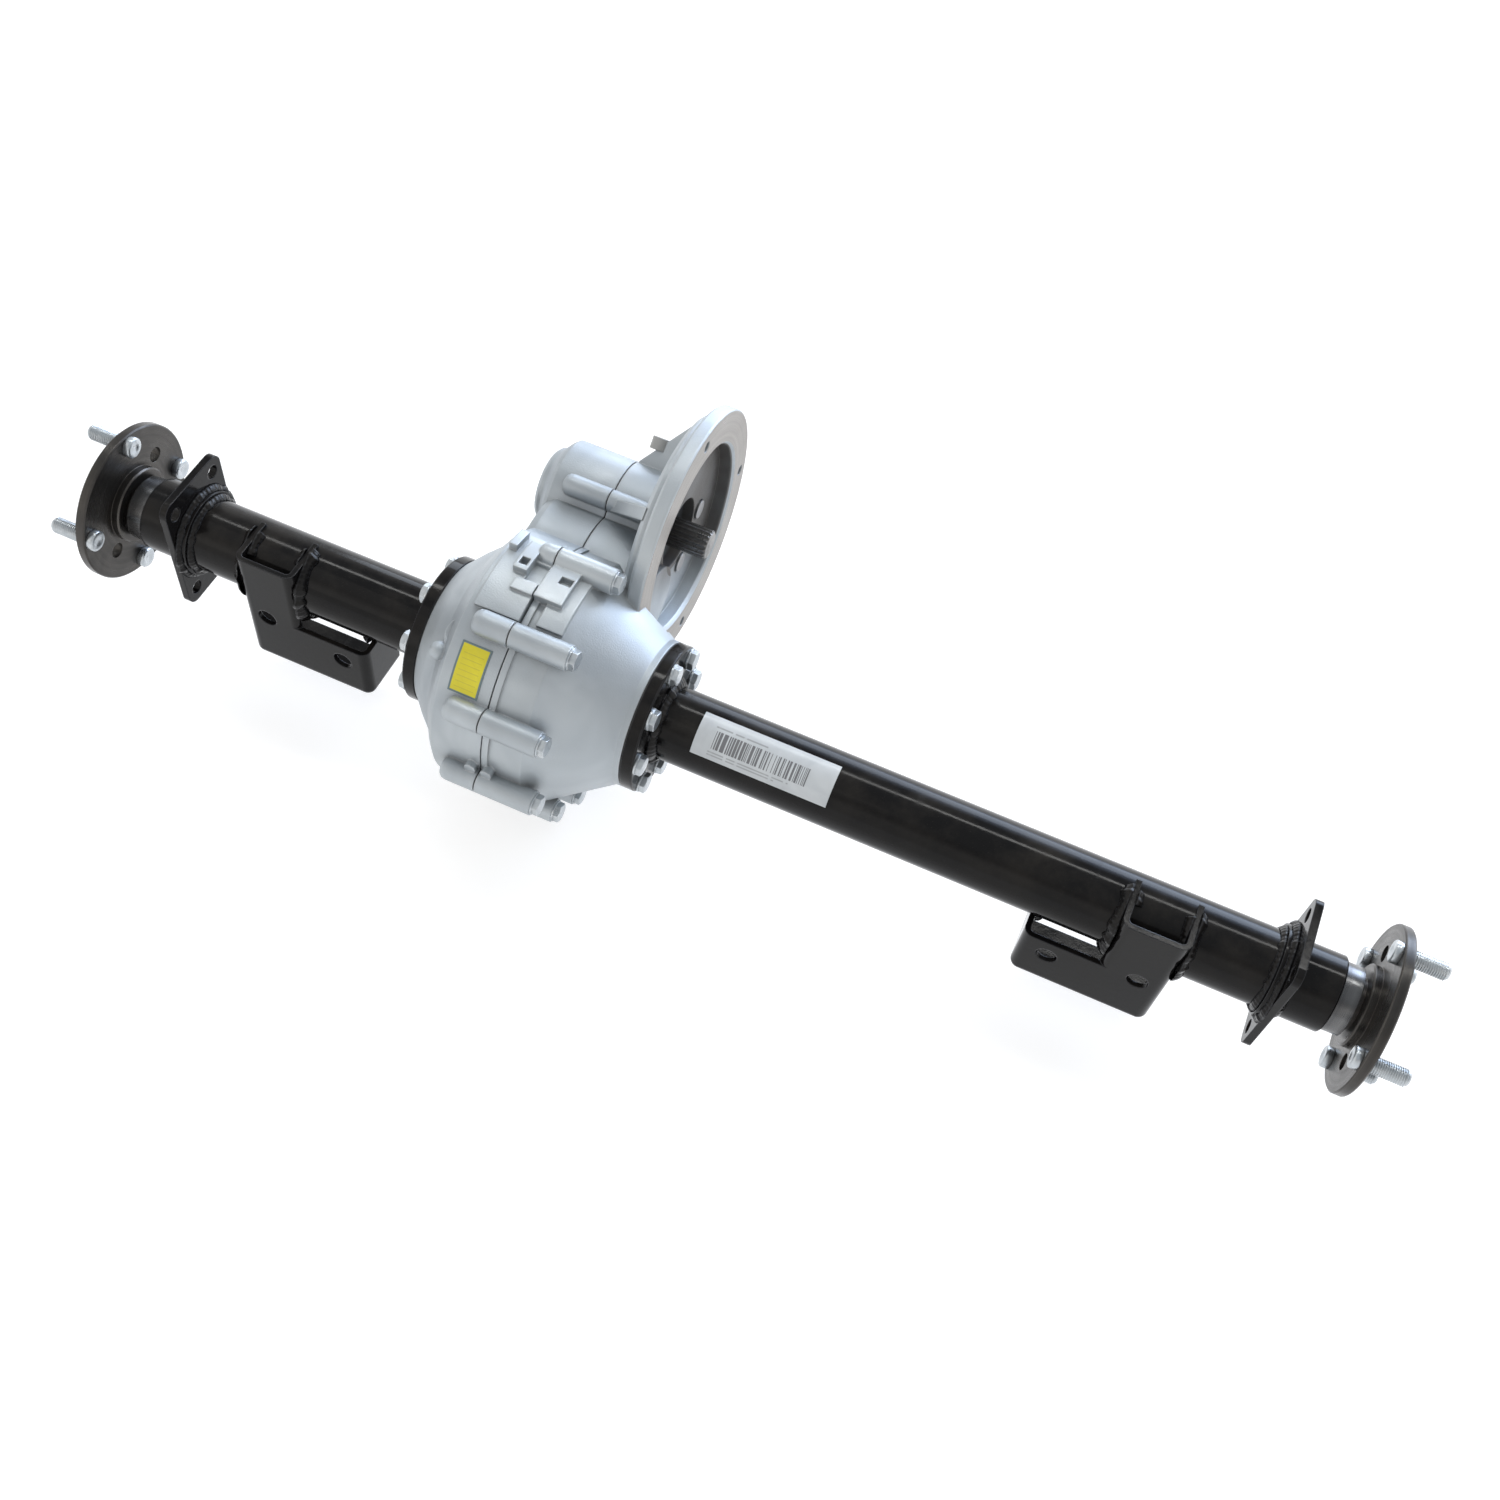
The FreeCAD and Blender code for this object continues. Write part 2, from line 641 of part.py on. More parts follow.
def spur_gear(label, teeth, module, start, width, bore, centre, first_angle):
    # A spur gear whose teeth are drawn from the sheet's module and tooth count.
    spots = gear_outline(teeth.number, module.number, first_angle)
    points = [Vector(0, radius * math.sin(angle), radius * math.cos(angle)) for angle, radius in spots]
    wheel = Part.Face(Part.makePolygon(points + points[:1])).extrude(Vector(term(width).number, 0, 0))
    if bore is not None:
        depth = term(width).number + 2
        hole = Part.makeCylinder(term(bore).number, depth, Vector(-1, 0, 0), Vector(1, 0, 0))
        wheel = wheel.cut(hole)
    thing = doc.addObject("Part::Feature", label)
    thing.Shape = wheel
    return place(thing, (start, centre[0], centre[1]))


def bevel_teeth(teeth, mate, pitch_radius, near, far, bore, first_angle):
    # A straight bevel gear about +Z with its apex at the origin, between two planes.
    cone = math.atan(teeth / mate)
    reach = pitch_radius / math.sin(cone)
    module = 2 * pitch_radius / teeth
    virtual = teeth / math.cos(cone)
    side = flank(virtual, module, 3, size.bevel_play)
    virtual_pitch = virtual * module / 2
    rays = []
    for tooth in range(int(teeth)):
        middle = math.radians(first_angle) + 2 * math.pi * tooth / teeth
        lean = [(cone + (radius - virtual_pitch) / reach, half / math.cos(cone)) for radius, half in side]
        rays += [(middle - half, math.tan(slope)) for slope, half in lean]
        rays += [(middle + half, math.tan(slope)) for slope, half in reversed(lean)]
    ends = []
    for height in (near, far):
        ends.append([Vector(height * rise * math.cos(angle), height * rise * math.sin(angle), height)
                     for angle, rise in rays])
    faces = [Part.Face(Part.makePolygon(end + end[:1])) for end in ends]
    count = len(rays)
    for index in range(count):
        other = (index + 1) % count
        corners = [ends[0][index], ends[0][other], ends[1][other], ends[1][index], ends[0][index]]
        faces.append(Part.Face(Part.makePolygon(corners)))
    solid = Part.Solid(Part.Shell(faces))
    if solid.Volume < 0:
        solid.reverse()
    hole = Part.makeCylinder(bore, far - near + 2, Vector(0, 0, near - 1))
    return solid.cut(hole)


# Hubs, half shafts and tubes come first, each in a left and a right copy.

SIDES = (("left", 1), ("right", -1))


def inward(sign, value):
    # A distance from a hub face into the axle, as a place along that side's own body.
    if not isinstance(value, Term) and value == 0:
        return 0
    return term(value) if sign > 0 else -term(value)


def hub_face(sign):
    return 0 if sign > 0 else size.hub_face_span


def along(sign, value):
    # A distance from a hub face into the axle, as a place along the whole axle.
    return term(value) if sign > 0 else size.hub_face_span - value


def span(first, last):
    # Two places along X in rising order.
    return (first, last) if term(first).number < term(last).number else (last, first)


side_reach = size.side_pitch_radius * size.spider_teeth / size.side_teeth
first_gap = size.diff_cavity_half + size.side_hub_length
seat_gap = size.diff_cavity_half + 2
end_gap = size.pin_radius + 3
shaft_bearing = (size.hub_seal_width + size.end_gap, size.hub_bearing_width)
for side, sign in SIDES:
    edge = size.hub_edge_chamfer
    disc = size.hub_disc_thickness
    boss_end = disc + size.hub_boss_length
    centre_place = size.diff_centre if sign > 0 else size.hub_face_span - size.diff_centre
    outline = [
        (0, 0), (0, size.hub_disc_radius - edge), (edge, size.hub_disc_radius),
        (disc - edge, size.hub_disc_radius), (disc, size.hub_disc_radius - edge),
        (disc, size.hub_boss_radius), (boss_end - edge, size.hub_boss_radius),
        (boss_end, size.hub_boss_radius - edge), (boss_end, size.hub_neck_radius),
        (size.collar_start, size.hub_neck_radius), (size.collar_start, size.shaft_radius),
        (centre_place - seat_gap, size.shaft_radius),
        (centre_place - seat_gap, size.side_seat_radius),
        (centre_place - end_gap, size.side_seat_radius), (centre_place - end_gap, 0),
    ]
    outline = [(inward(sign, place_x), radius) for place_x, radius in outline]
    shaft = keep(turned(side + "_half_shaft", outline, (0, 0), hub_face(sign)))
    angle = size.left_stud_angle if sign > 0 else size.right_stud_angle
    spot = polar(size.stud_circle_radius, angle)
    drill(shaft, side + "_stud_holes", [spot + (size.stud_knurl_radius + size.fit,)], disc,
          size.stud_count, "YZ_Plane", sign > 0)
    spot = polar(size.hub_access_reach, angle + 45)
    drill(shaft, side + "_access_holes", [spot + (size.hub_access_radius,)], disc, 2,
          "YZ_Plane", sign > 0)

    studs = []
    for index in range(int(size.stud_count.number)):
        name = side + "_wheel_stud_" + str(index + 1)
        where = polar(size.stud_circle_radius, angle + Term(360 * index, str(360 * index))
                      / size.stud_count)
        tip = inward(sign, -(size.stud_reach))
        point = inward(sign, -(size.stud_reach - size.stud_point))
        head = inward(sign, disc + size.stud_head_height)
        rim = inward(sign, disc + size.stud_head_height - 1)
        stud = turned(name, [
            (tip, 0), (tip, size.stud_radius - size.stud_point * 0.6), (point, size.stud_radius),
            (0, size.stud_radius), (0, size.stud_knurl_radius - size.stud_knurl_taper),
            (inward(sign, disc), size.stud_knurl_radius), (inward(sign, disc), size.stud_head_radius),
            (rim, size.stud_head_radius - 0.3), (head, size.stud_head_radius - 1.2), (head, 0),
        ], where, hub_face(sign))
        studs.append(stud)
    keep(group(side + "_wheel_studs", studs))

    collar_end = size.collar_start + size.collar_length
    keep(ring(side + "_bearing_collar", size.shaft_radius + size.fit, size.collar_radius,
              along(sign, size.collar_start), along(sign, collar_end)))
    seal_start = size.tube_start + size.end_gap
    seal_end = seal_start + size.hub_seal_width
    keep(ring(side + "_hub_seal", size.shaft_radius + size.running_gap,
              size.hub_bearing_outer, along(sign, seal_start), along(sign, seal_end)))
    first, last = span(along(sign, seal_end), along(sign, seal_end + size.hub_bearing_width))
    keep(bearing(side + "_hub_bearing", size.shaft_radius, size.hub_bearing_outer, first,
                 size.hub_bearing_width))

    # The tube ends flush with the bolted flange that is welded round it.
    case_face = size.case_left_face if sign > 0 else size.case_right_face
    joint = case_face - size.flange_gasket if sign > 0 else case_face + size.flange_gasket
    counterbore = seal_end + size.hub_bearing_width
    outer = size.tube_outer_radius
    bore = size.tube_bore_radius
    keep(turned(side + "_axle_tube", [
        (along(sign, size.tube_start), size.hub_bearing_outer + size.fit),
        (along(sign, size.tube_start), outer - 1), (along(sign, size.tube_start + 1), outer),
        (joint, outer), (joint, bore), (along(sign, counterbore), bore),
        (along(sign, counterbore), size.hub_bearing_outer + size.fit),
    ]))

    outboard = joint - size.flange_thickness if sign > 0 else joint + size.flange_thickness
    weld = -size.flange_weld if sign > 0 else term(size.flange_weld)
    chamfer = 1
    lean = chamfer if sign > 0 else -chamfer
    local_out = outboard - joint
    flange = keep(turned(side + "_tube_flange", [
        (0, outer + size.fit), (0, size.flange_radius), (local_out + lean, size.flange_radius),
        (local_out, size.flange_radius - chamfer), (local_out, outer + size.flange_weld),
        (local_out + weld, outer + size.fit),
    ], (0, 0), joint))
    angle = size.left_flange_bolt_angle if sign > 0 else size.right_flange_bolt_angle
    spot = polar(size.flange_bolt_reach, angle)
    drill(flange, side + "_flange_holes", [spot + (size.flange_bolt_radius + size.bolt_hole_room,)],
          size.flange_thickness, size.flange_bolt_count, "YZ_Plane", sign < 0)
    first, last = span(joint, case_face)
    gasket = keep(turned(side + "_flange_gasket", [
        (0, size.tube_bore_radius), (0, size.flange_radius - size.seam_gasket_inset),
        (size.flange_gasket, size.flange_radius - size.seam_gasket_inset),
        (size.flange_gasket, size.tube_bore_radius),
    ], (0, 0), first))
    drill(gasket, side + "_gasket_holes", [spot + (size.flange_bolt_radius + size.bolt_hole_room,)],
          size.flange_gasket, size.flange_bolt_count)

    bolts = []
    for index in range(int(size.flange_bolt_count.number)):
        name = side + "_flange_bolt_" + str(index + 1)
        turn = angle + Term(360 * index, str(360 * index)) / size.flange_bolt_count
        where = polar(size.flange_bolt_reach, turn)
        inner = case_face + size.flange_bolt_depth if sign > 0 else case_face - size.flange_bolt_depth
        first, last = span(outboard, inner)
        bolts.append(fused(name, [
            cylinder(name + "_shank", size.flange_bolt_radius, first, last, where),
        ] + bolt_head(name, outboard, -sign, where)))
    keep(group(side + "_flange_bolts", bolts))

    # Brake plate: a rounded rectangle with a weld ring on its gear case side.
    body = doc.addObject("PartDesign::Body", side + "_brake_plate")
    sketch = sketch_on(body, "YZ_Plane", side + "_plate_outline")
    half_y = size.plate_width / 2
    half_z = size.plate_height / 2
    draw_outline(sketch, [(-half_y, -half_z), (half_y, -half_z), (half_y, half_z), (-half_y, half_z)])
    pad = body.newObject("PartDesign::Pad", side + "_plate_pad")
    pad.Profile = sketch
    pad.Reversed = sign < 0
    bind(pad, "Length", size.plate_thickness)
    body.Tip = pad
    doc.recompute()
    corners = []
    for index, line in enumerate(body.Tip.Shape.Edges, start=1):
        points = [vertex.Point for vertex in line.Vertexes]
        if abs(points[0].y - points[-1].y) < 0.01 and abs(points[0].z - points[-1].z) < 0.01:
            corners.append("Edge" + str(index))
    fillet = body.newObject("PartDesign::Fillet", side + "_plate_corners")
    fillet.Base = (pad, corners)
    bind(fillet, "Radius", size.plate_corner)
    body.Tip = fillet
    doc.recompute()
    sketch = sketch_on(body, "YZ_Plane", side + "_weld_outline")
    draw_circle(sketch, 0, 0, size.weld_ring_radius)
    pad = body.newObject("PartDesign::Pad", side + "_weld_pad")
    pad.Profile = sketch
    pad.Reversed = sign < 0
    bind(pad, "Length", size.plate_thickness + size.weld_ring_length)
    body.Tip = pad
    drill(body, side + "_plate_bore", [(0, 0, outer + size.fit)],
          size.plate_thickness + size.weld_ring_length, 1, "YZ_Plane", sign > 0)
    hole_y = size.plate_hole_pitch_y / 2
    hole_z = size.plate_hole_pitch_z / 2
    circles = [(first * hole_y.number and (hole_y if first > 0 else -hole_y),
                hole_z if last > 0 else -hole_z, size.plate_hole_radius)
               for first in (-1, 1) for last in (-1, 1)]
    drill(body, side + "_plate_holes", circles, size.plate_thickness, 1, "YZ_Plane", sign > 0)
    keep(place(body, (along(sign, size.plate_start), 0, 0)))

# Saddle brackets are bent plate: a web, two walls and an open top.

web = size.tube_outer_radius + size.fit
web_outer = web + size.bracket_plate


def bends(shape, front, bottom, inset):
    # The edges where the web turns into the walls and the lowest plate, and their low ends.
    found = []
    tall = size.bracket_tall_width.number
    wide = size.bracket_wide_width.number
    for index, line in enumerate(shape.Edges, start=1):
        one, two = line.Vertexes[0].Point, line.Vertexes[-1].Point
        at_front = abs(one.y - front) < 0.01 and abs(two.y - front) < 0.01
        at_bottom = abs(one.z - bottom) < 0.01 and abs(two.z - bottom) < 0.01
        at_wall = min(abs(abs(one.x) - reach) for reach in (inset, tall - inset, wide - inset))
        upright_line = abs(one.x - two.x) < 0.01 and at_wall < 0.01
        level_line = abs(one.x - two.x) < 0.01 and abs(one.z - two.z) < 0.01
        at_end = abs(abs(one.x) - inset) < 0.01 or abs(abs(one.x) - wide + inset) < 0.01
        if (at_front and (upright_line or at_bottom)) or (at_bottom and level_line and at_end):
            found.append("Edge" + str(index))
    return found


for side, sign in SIDES:
    start = along(sign, size.left_bracket_start if sign > 0 else size.right_bracket_start)
    body = doc.addObject("PartDesign::Body", side + "_bracket_plate")
    sketch = sketch_on(body, "XZ_Plane", side + "_bracket_outline")
    tall = inward(sign, size.bracket_tall_width)
    wide = inward(sign, size.bracket_wide_width)
    plate = inward(sign, size.bracket_plate)
    draw_outline(sketch, [
        (0, -size.bracket_bottom), (wide, -size.bracket_bottom), (wide, -size.bracket_step),
        (tall, -size.bracket_step), (tall, term(size.bracket_top)), (0, term(size.bracket_top)),
    ])
    pad = body.newObject("PartDesign::Pad", side + "_bracket_block")
    pad.Profile = sketch
    pad.Reversed = True
    bind(pad, "Length", web_outer + size.bracket_lip)
    body.Tip = pad
    doc.recompute()
    fillet = body.newObject("PartDesign::Fillet", side + "_bracket_bends")
    fillet.Base = (pad, bends(pad.Shape, 0, -size.bracket_bottom.number, 0))
    bind(fillet, "Radius", size.bracket_bend)
    body.Tip = fillet
    doc.recompute()
    # The tray inside leaves the web and the walls; the top of the channel stays open.
    sketch = sketch_on(body, "XZ_Plane", side + "_tray_outline")
    floor = -(size.bracket_bottom - size.bracket_plate)
    sketch.AttachmentOffset = FreeCAD.Placement(Vector(0, 0, -size.bracket_plate.number), Rotation())
    sketch.setExpression(".AttachmentOffset.Base.z", "0 - " + size.bracket_plate.text)
    draw_outline(sketch, [
        (plate, floor), (wide - plate, floor), (wide - plate, -size.bracket_flange_drop),
        (tall - plate, -size.bracket_flange_drop), (tall - plate, size.bracket_top + 5),
        (plate, size.bracket_top + 5),
    ])
    before = body.Shape.Volume
    pocket = body.newObject("PartDesign::Pocket", side + "_tray")
    pocket.Profile = sketch
    pocket.Reversed = False
    bind(pocket, "Length", web + size.bracket_lip)
    body.Tip = pocket
    doc.recompute()
    if body.Shape.Volume > before * 0.5:
        raise RuntimeError(side + " tray removes too little")
    hollow = body.newObject("PartDesign::Fillet", side + "_tray_bends")
    hollow.Base = (pocket, bends(pocket.Shape, size.bracket_plate.number, floor.number,
                                 size.bracket_plate.number))
    bind(hollow, "Radius", size.bracket_bend - size.bracket_plate)
    body.Tip = hollow
    doc.recompute()
    holes = [
        (inward(sign, size.bracket_hole_start), -size.bracket_outer_hole_drop,
         size.bracket_hole_radius),
        (inward(sign, size.bracket_hole_start + size.bracket_hole_pitch),
         -size.bracket_inner_hole_drop, size.bracket_hole_radius),
    ]
    drill(body, side + "_bracket_holes", holes, size.bracket_plate, 1, "XZ_Plane", False)
    place(body, (start, -web_outer, 0))
    reach = along(sign, size.left_bracket_start + size.bracket_tall_width + 1) if sign > 0 else \
        along(sign, size.right_bracket_start + size.bracket_tall_width + 1)
    first, last = span(start - sign, reach)
    saddle = cylinder(side + "_saddle_room", web, first, last)
    above = doc.addObject("Part::Box", side + "_top_room")
    bind(above, "Length", last - first)
    bind(above, "Width", size.bracket_lip)
    bind(above, "Height", size.bracket_top + 1)
    place(above, (first, size.bracket_top_lip, 0))
    keep(cut(side + "_saddle_bracket", body, fused(side + "_saddle_rooms", [saddle, above])))

# The gear case is two castings that meet at the seam.

# Bolt bosses round the joint: angles round the axle, and round the input shaft.
BOSSES = (15.7, -25, -62, -97, -135, -161.5, 164, 130)
LOBE_BOSSES = (-33, 105, 172)
boss_spots = [polar(size.boss_reach, angle) for angle in BOSSES]
boss_spots[4] = polar(size.boss_reach - size.low_boss_inset, BOSSES[4])
lobe_spots = [polar(size.lobe_boss_reach, angle, drive) for angle in LOBE_BOSSES]

boss_left = left_seam - size.boss_left_length
top_boss_left = left_seam - size.top_boss_length
lobe_boss_left = left_seam - size.lobe_boss_length
throat = size.diff_body_radius + size.throat_room
lug_start = left_seam - size.lug_length
post_top = size.left_lug_radius + size.post_rise
pocket_floor = size.left_lug_radius - size.pocket_depth


def round_boss(label, radius, start, end, centre):
    # A bolt boss whose left end is rounded.
    tip = size.boss_round
    return turned(label, [
        (start, 0), (start, radius * 0.45), (start + tip * 0.18, radius * 0.76),
        (start + tip * 0.5, radius * 0.94), (start + tip, radius), (end, radius), (end, 0),
    ], centre)


left_dome = turned("left_case_dome", [
    (size.case_left_face, 0), (size.case_left_face, size.flange_radius),
    (size.case_left_face + 2.5, size.flange_radius + 2.5),
    (size.case_left_face + size.dome_first_rise, size.dome_first_radius),
    (size.case_left_face + size.dome_second_rise, size.dome_second_radius),
    (size.case_left_face + size.dome_third_rise, size.dome_third_radius),
    (size.left_band_start, size.left_band_radius), (left_seam, size.left_band_radius),
    (left_seam, 0),
])
pieces = [
    left_dome,
    turned("left_neck", [
        (size.mid_cap_start, 0), (size.mid_cap_start, size.mid_cap_radius - 1.5),
        (size.mid_cap_start + 1.5, size.mid_cap_radius), (size.neck_start, size.mid_cap_radius + 1),
        (size.neck_start, size.neck_radius - 7), (size.neck_start + 1.5, size.neck_radius - 3.5),
        (size.neck_start + 7, size.neck_radius), (left_seam, size.neck_radius), (left_seam, 0),
    ], mid),
    turned("left_lobe", [
        (size.cap_start, 0), (size.cap_start, size.cap_radius - 2.5),
        (size.cap_start + 2.5, size.cap_radius), (size.lobe_start - 5, size.cap_radius + 1),
        (size.lobe_start, size.lobe_radius - 2.5), (size.lobe_start + 3, size.lobe_radius),
        (left_seam, size.lobe_radius), (left_seam, 0),
    ], drive),
    sector("left_lug", size.left_lug_radius, lug_start, left_seam, -19, 25),
    raised("left_post_outer", size.left_lug_radius - 2, post_top, lug_start,
           lug_start + size.post_length, 11, 22),
    raised("left_post_inner", size.left_lug_radius - 2, post_top,
           lug_start + size.post_length * 2, left_seam - 11, 1, 17),
    raised("left_bar", size.left_lug_radius - 2, size.left_lug_radius + size.bar_rise,
           left_seam - 16, left_seam, -7.5, -2),
]
for index, spot in enumerate(boss_spots, start=1):
    start = top_boss_left if index == 1 else boss_left
    pieces.append(round_boss("left_boss_" + str(index), size.boss_radius, start, left_seam, spot))
pieces.append(spoke("left_nub", "round", size.nub_radius, size.nub_height,
                    left_seam - size.nub_inset, size.nub_foot, size.nub_angle))
knob = doc.addObject("Part::Sphere", "left_dome_knob")
bind(knob, "Radius", size.knob_radius)
across, up = polar(size.knob_reach, size.knob_angle)
pieces.append(place(knob, (size.knob_place, across, up)))
for index, spot in enumerate(lobe_spots, start=1):
    pieces.append(round_boss("left_lobe_boss_" + str(index), size.lobe_boss_radius,
                             lobe_boss_left, left_seam, spot))
for index, angle in enumerate((-145, 165, 60), start=1):
    pieces.append(rib("left_dome_rib_" + str(index), size.case_left_face + 1,
                      size.left_band_start + 2, 40, size.flange_radius + 3,
                      size.left_band_radius - 1, 6, angle))
for name, angle in (("fill", size.fill_angle), ("drain", size.drain_angle)):
    pieces.append(spoke(name + "_boss", "round", size.plug_boss_radius,
                        size.plug_boss_reach - 60, size.plug_place, 60, angle))
left_outer = fused("left_case_outer", pieces)

cavity_radius = size.left_band_radius - size.case_wall
gear_room = size.first_module * (size.mid_teeth / 2 + 1) + 2.75
left_rooms = fused("left_case_rooms", [
    turned("left_cavity", [
        (size.left_diff_bearing + size.diff_bearing_width, 0),
        (size.left_diff_bearing + size.diff_bearing_width, size.dome_first_radius - 4),
        (size.left_band_start + 2.5, cavity_radius), (left_seam + 1, cavity_radius),
        (left_seam + 1, 0),
    ]),
    cylinder("left_gear_room", gear_room, size.first_start - 3, left_seam + 1, mid),
    cylinder("left_pinion_room", size.input_bearing_outer + size.fit, size.left_input_bearing,
             left_seam + 1, drive),
])
left_hollow = cut("left_case_hollow", left_outer, left_rooms)
left_full = fused("left_case_full", [
    left_hollow,
    cylinder("left_mid_boss", size.mid_cap_radius, size.mid_cap_start, size.first_start - 3, mid),
])
bores = [
    turned("left_journal_bore", [
        (size.case_left_face - 1, 0), (size.case_left_face - 1, 30),
        (size.left_diff_bearing, 30), (size.left_diff_bearing, size.diff_bearing_outer + size.fit),
        (size.left_diff_bearing + size.diff_bearing_width + 8,
         size.diff_bearing_outer + size.fit),
        (size.left_diff_bearing + size.diff_bearing_width + 8, 0),
    ]),
    cylinder("left_mid_bore", size.mid_bearing_outer + size.fit, size.left_mid_bearing,
             size.first_start - 2, mid),
    cylinder("left_oval_recess", size.recess_radius, size.recess_start, size.recess_end,
             polar(size.recess_reach, size.recess_angle)),
    raised("left_pocket", pocket_floor, post_top + 2, left_seam - 11, left_seam + 1, -2, 9.5),
    raised("left_post_notch", size.left_lug_radius, post_top + 2, left_seam - 19,
           left_seam - 13, 3, 7),
]
for index, spot in enumerate(boss_spots, start=1):
    start = top_boss_left if index == 1 else boss_left
    bores.append(cylinder("left_bolt_hole_" + str(index), size.case_bolt_radius + size.fit,
                          start + size.boss_point, left_seam + 1, spot))
for index, spot in enumerate(lobe_spots, start=1):
    bores.append(cylinder("left_screw_hole_" + str(index), size.case_bolt_radius + size.fit,
                          lobe_boss_left + size.boss_point, left_seam + 1, spot))
for index in range(int(size.flange_bolt_count.number)):
    turn = size.left_flange_bolt_angle + Term(360 * index, str(360 * index)) / size.flange_bolt_count
    bores.append(cylinder("left_flange_tap_" + str(index + 1), size.flange_bolt_radius + size.fit,
                          size.case_left_face - 1, size.case_left_face + size.flange_bolt_depth,
                          polar(size.flange_bolt_reach, turn)))
for name, angle in (("fill", size.fill_angle), ("drain", size.drain_angle)):
    bores.append(spoke(name + "_bore", "round", size.plug_radius + size.fit,
                       size.plug_boss_reach - 60, size.plug_place, 61, angle))
keep(cut("left_case_half", left_full, fused("left_case_bores", bores)))


def upright(label, radius, height):
    # A round bar on the top gusset of the bell, square to the input shaft.
    thing = doc.addObject("Part::Cylinder", label)
    bind(thing, "Radius", radius)
    bind(thing, "Height", height)
    across, up = polar(size.breather_foot, size.gusset_angle, drive)
    return place(thing, (size.breather_place, across, up), turn_x(size.gusset_angle))


right_cone = turned("right_case_cone", [
    (right_seam, 0), (right_seam, size.right_band_radius),
    (size.right_band_end, size.right_band_radius), (size.right_cone_end, size.flange_radius),
    (size.case_right_face, size.flange_radius), (size.case_right_face, 0),
])
bell_edge = size.bell_face - size.bell_rim
bell = turned("motor_bell", [
    (size.bell_back, 0), (size.bell_back, size.bell_back_radius - 3),
    (size.bell_back + 3, size.bell_back_radius), (bell_edge, size.bell_back_radius),
    (bell_edge, size.bell_radius - 1.5), (bell_edge + 1.5, size.bell_radius),
    (size.bell_face - 1, size.bell_radius), (size.bell_face, size.bell_radius - 1),
    (size.bell_face, 0),
], drive)
pieces = [
    right_cone, bell,
    cylinder("right_neck", size.neck_radius, right_seam, size.bell_back + 1, mid),
    cylinder("right_lobe", size.lobe_radius, right_seam, size.bell_back + 1, drive),
    sector("right_lug", size.right_lug_radius, right_seam, right_seam + 20.5, -7, 21),
    sector("right_low_lug", size.low_lug_radius, right_seam + 10, right_seam + 29, -17.5, 12),
    cylinder("right_lip", size.right_band_radius + size.lip_height, right_seam,
             right_seam + size.lip_width),
    spoke("right_nub", "round", size.nub_radius, size.nub_height, right_seam + size.nub_inset,
          size.nub_foot, size.nub_angle),
]
for index, spot in enumerate(boss_spots, start=1):
    pieces.append(cylinder("right_boss_" + str(index), size.boss_radius, right_seam,
                           size.boss_right_end, spot))
for index, spot in enumerate(lobe_spots, start=1):
    pieces.append(cylinder("right_lobe_boss_" + str(index), size.lobe_boss_radius, right_seam,
                           size.bell_back + 1, spot))
for index, (angle, thick) in enumerate(((size.gusset_angle, size.gusset_thickness), (-37, 9),
                                        (100, 8), (150, 9), (195, 8)), start=1):
    pieces.append(rib("bell_gusset_" + str(index), right_seam + 1, size.bell_back + 1, 20,
                      size.lobe_radius + 1, size.gusset_top, thick, angle, drive))
for index, angle in enumerate((-150, 175), start=1):
    pieces.append(rib("right_cone_rib_" + str(index), size.right_band_end - 4,
                      size.right_cone_end, 40, size.right_band_radius, size.flange_radius + 2, 6,
                      angle))
right_outer = fused("right_case_outer", pieces)
recess = turned("bell_recess", [
    (size.bell_floor, 0), (size.bell_floor, size.bell_opening),
    (size.bell_face - size.bell_chamfer, size.bell_opening),
    (size.bell_face + 1, size.bell_opening + size.bell_chamfer + 1), (size.bell_face + 1, 0),
], drive)
right_cavity_radius = size.right_band_radius - size.case_wall
right_rooms = fused("right_case_rooms", [
    recess,
    turned("right_cavity", [
        (right_seam - 1, 0), (right_seam - 1, right_cavity_radius),
        (size.ring_start + size.ring_width + 0.8, right_cavity_radius),
        (size.bell_floor - 6, throat + 8.5),
        (size.bell_floor + 7, throat), (size.right_diff_bearing, throat),
        (size.right_diff_bearing, 0),
    ]),
    cylinder("motor_room", size.motor_relief, size.bell_face, size.rim_start, drive),
    cylinder("motor_room_low", size.motor_relief_low, size.rim_start - 1,
             size.case_right_face + 1, drive),
])
right_hollow = cut("right_case_hollow", right_outer, right_rooms)
right_full = fused("right_case_full", [
    right_hollow,
    cylinder("right_mid_boss", size.mid_dome_radius, size.case_cavity_end, size.mid_dome_end, mid),
])
bores = [
    turned("right_journal_bore", [
        (size.right_diff_bearing - 4, 0),
        (size.right_diff_bearing - 4, size.diff_bearing_outer + size.fit),
        (size.right_diff_bearing + size.diff_bearing_width, size.diff_bearing_outer + size.fit),
        (size.right_diff_bearing + size.diff_bearing_width, 30), (size.case_right_face + 1, 30),
        (size.case_right_face + 1, 0),
    ]),
    cylinder("right_mid_bore", size.mid_bearing_outer + size.fit, right_seam - 1,
             size.right_mid_bearing + size.mid_bearing_width, mid),
    cylinder("right_drive_bore", size.drive_bearing_outer + size.fit, right_seam - 1,
             size.right_input_bearing + size.drive_bearing_width, drive),
    cylinder("right_seal_bore", size.input_seal_radius + size.fit, size.right_input_bearing,
             size.seal_floor + 1, drive),
    cylinder("bell_well", size.well_radius, size.seal_floor, size.bell_floor + 1, drive),
    raised("right_pocket", pocket_floor + 1, size.right_lug_radius + 2, right_seam + 10,
           right_seam + 19, 2, 6),
]
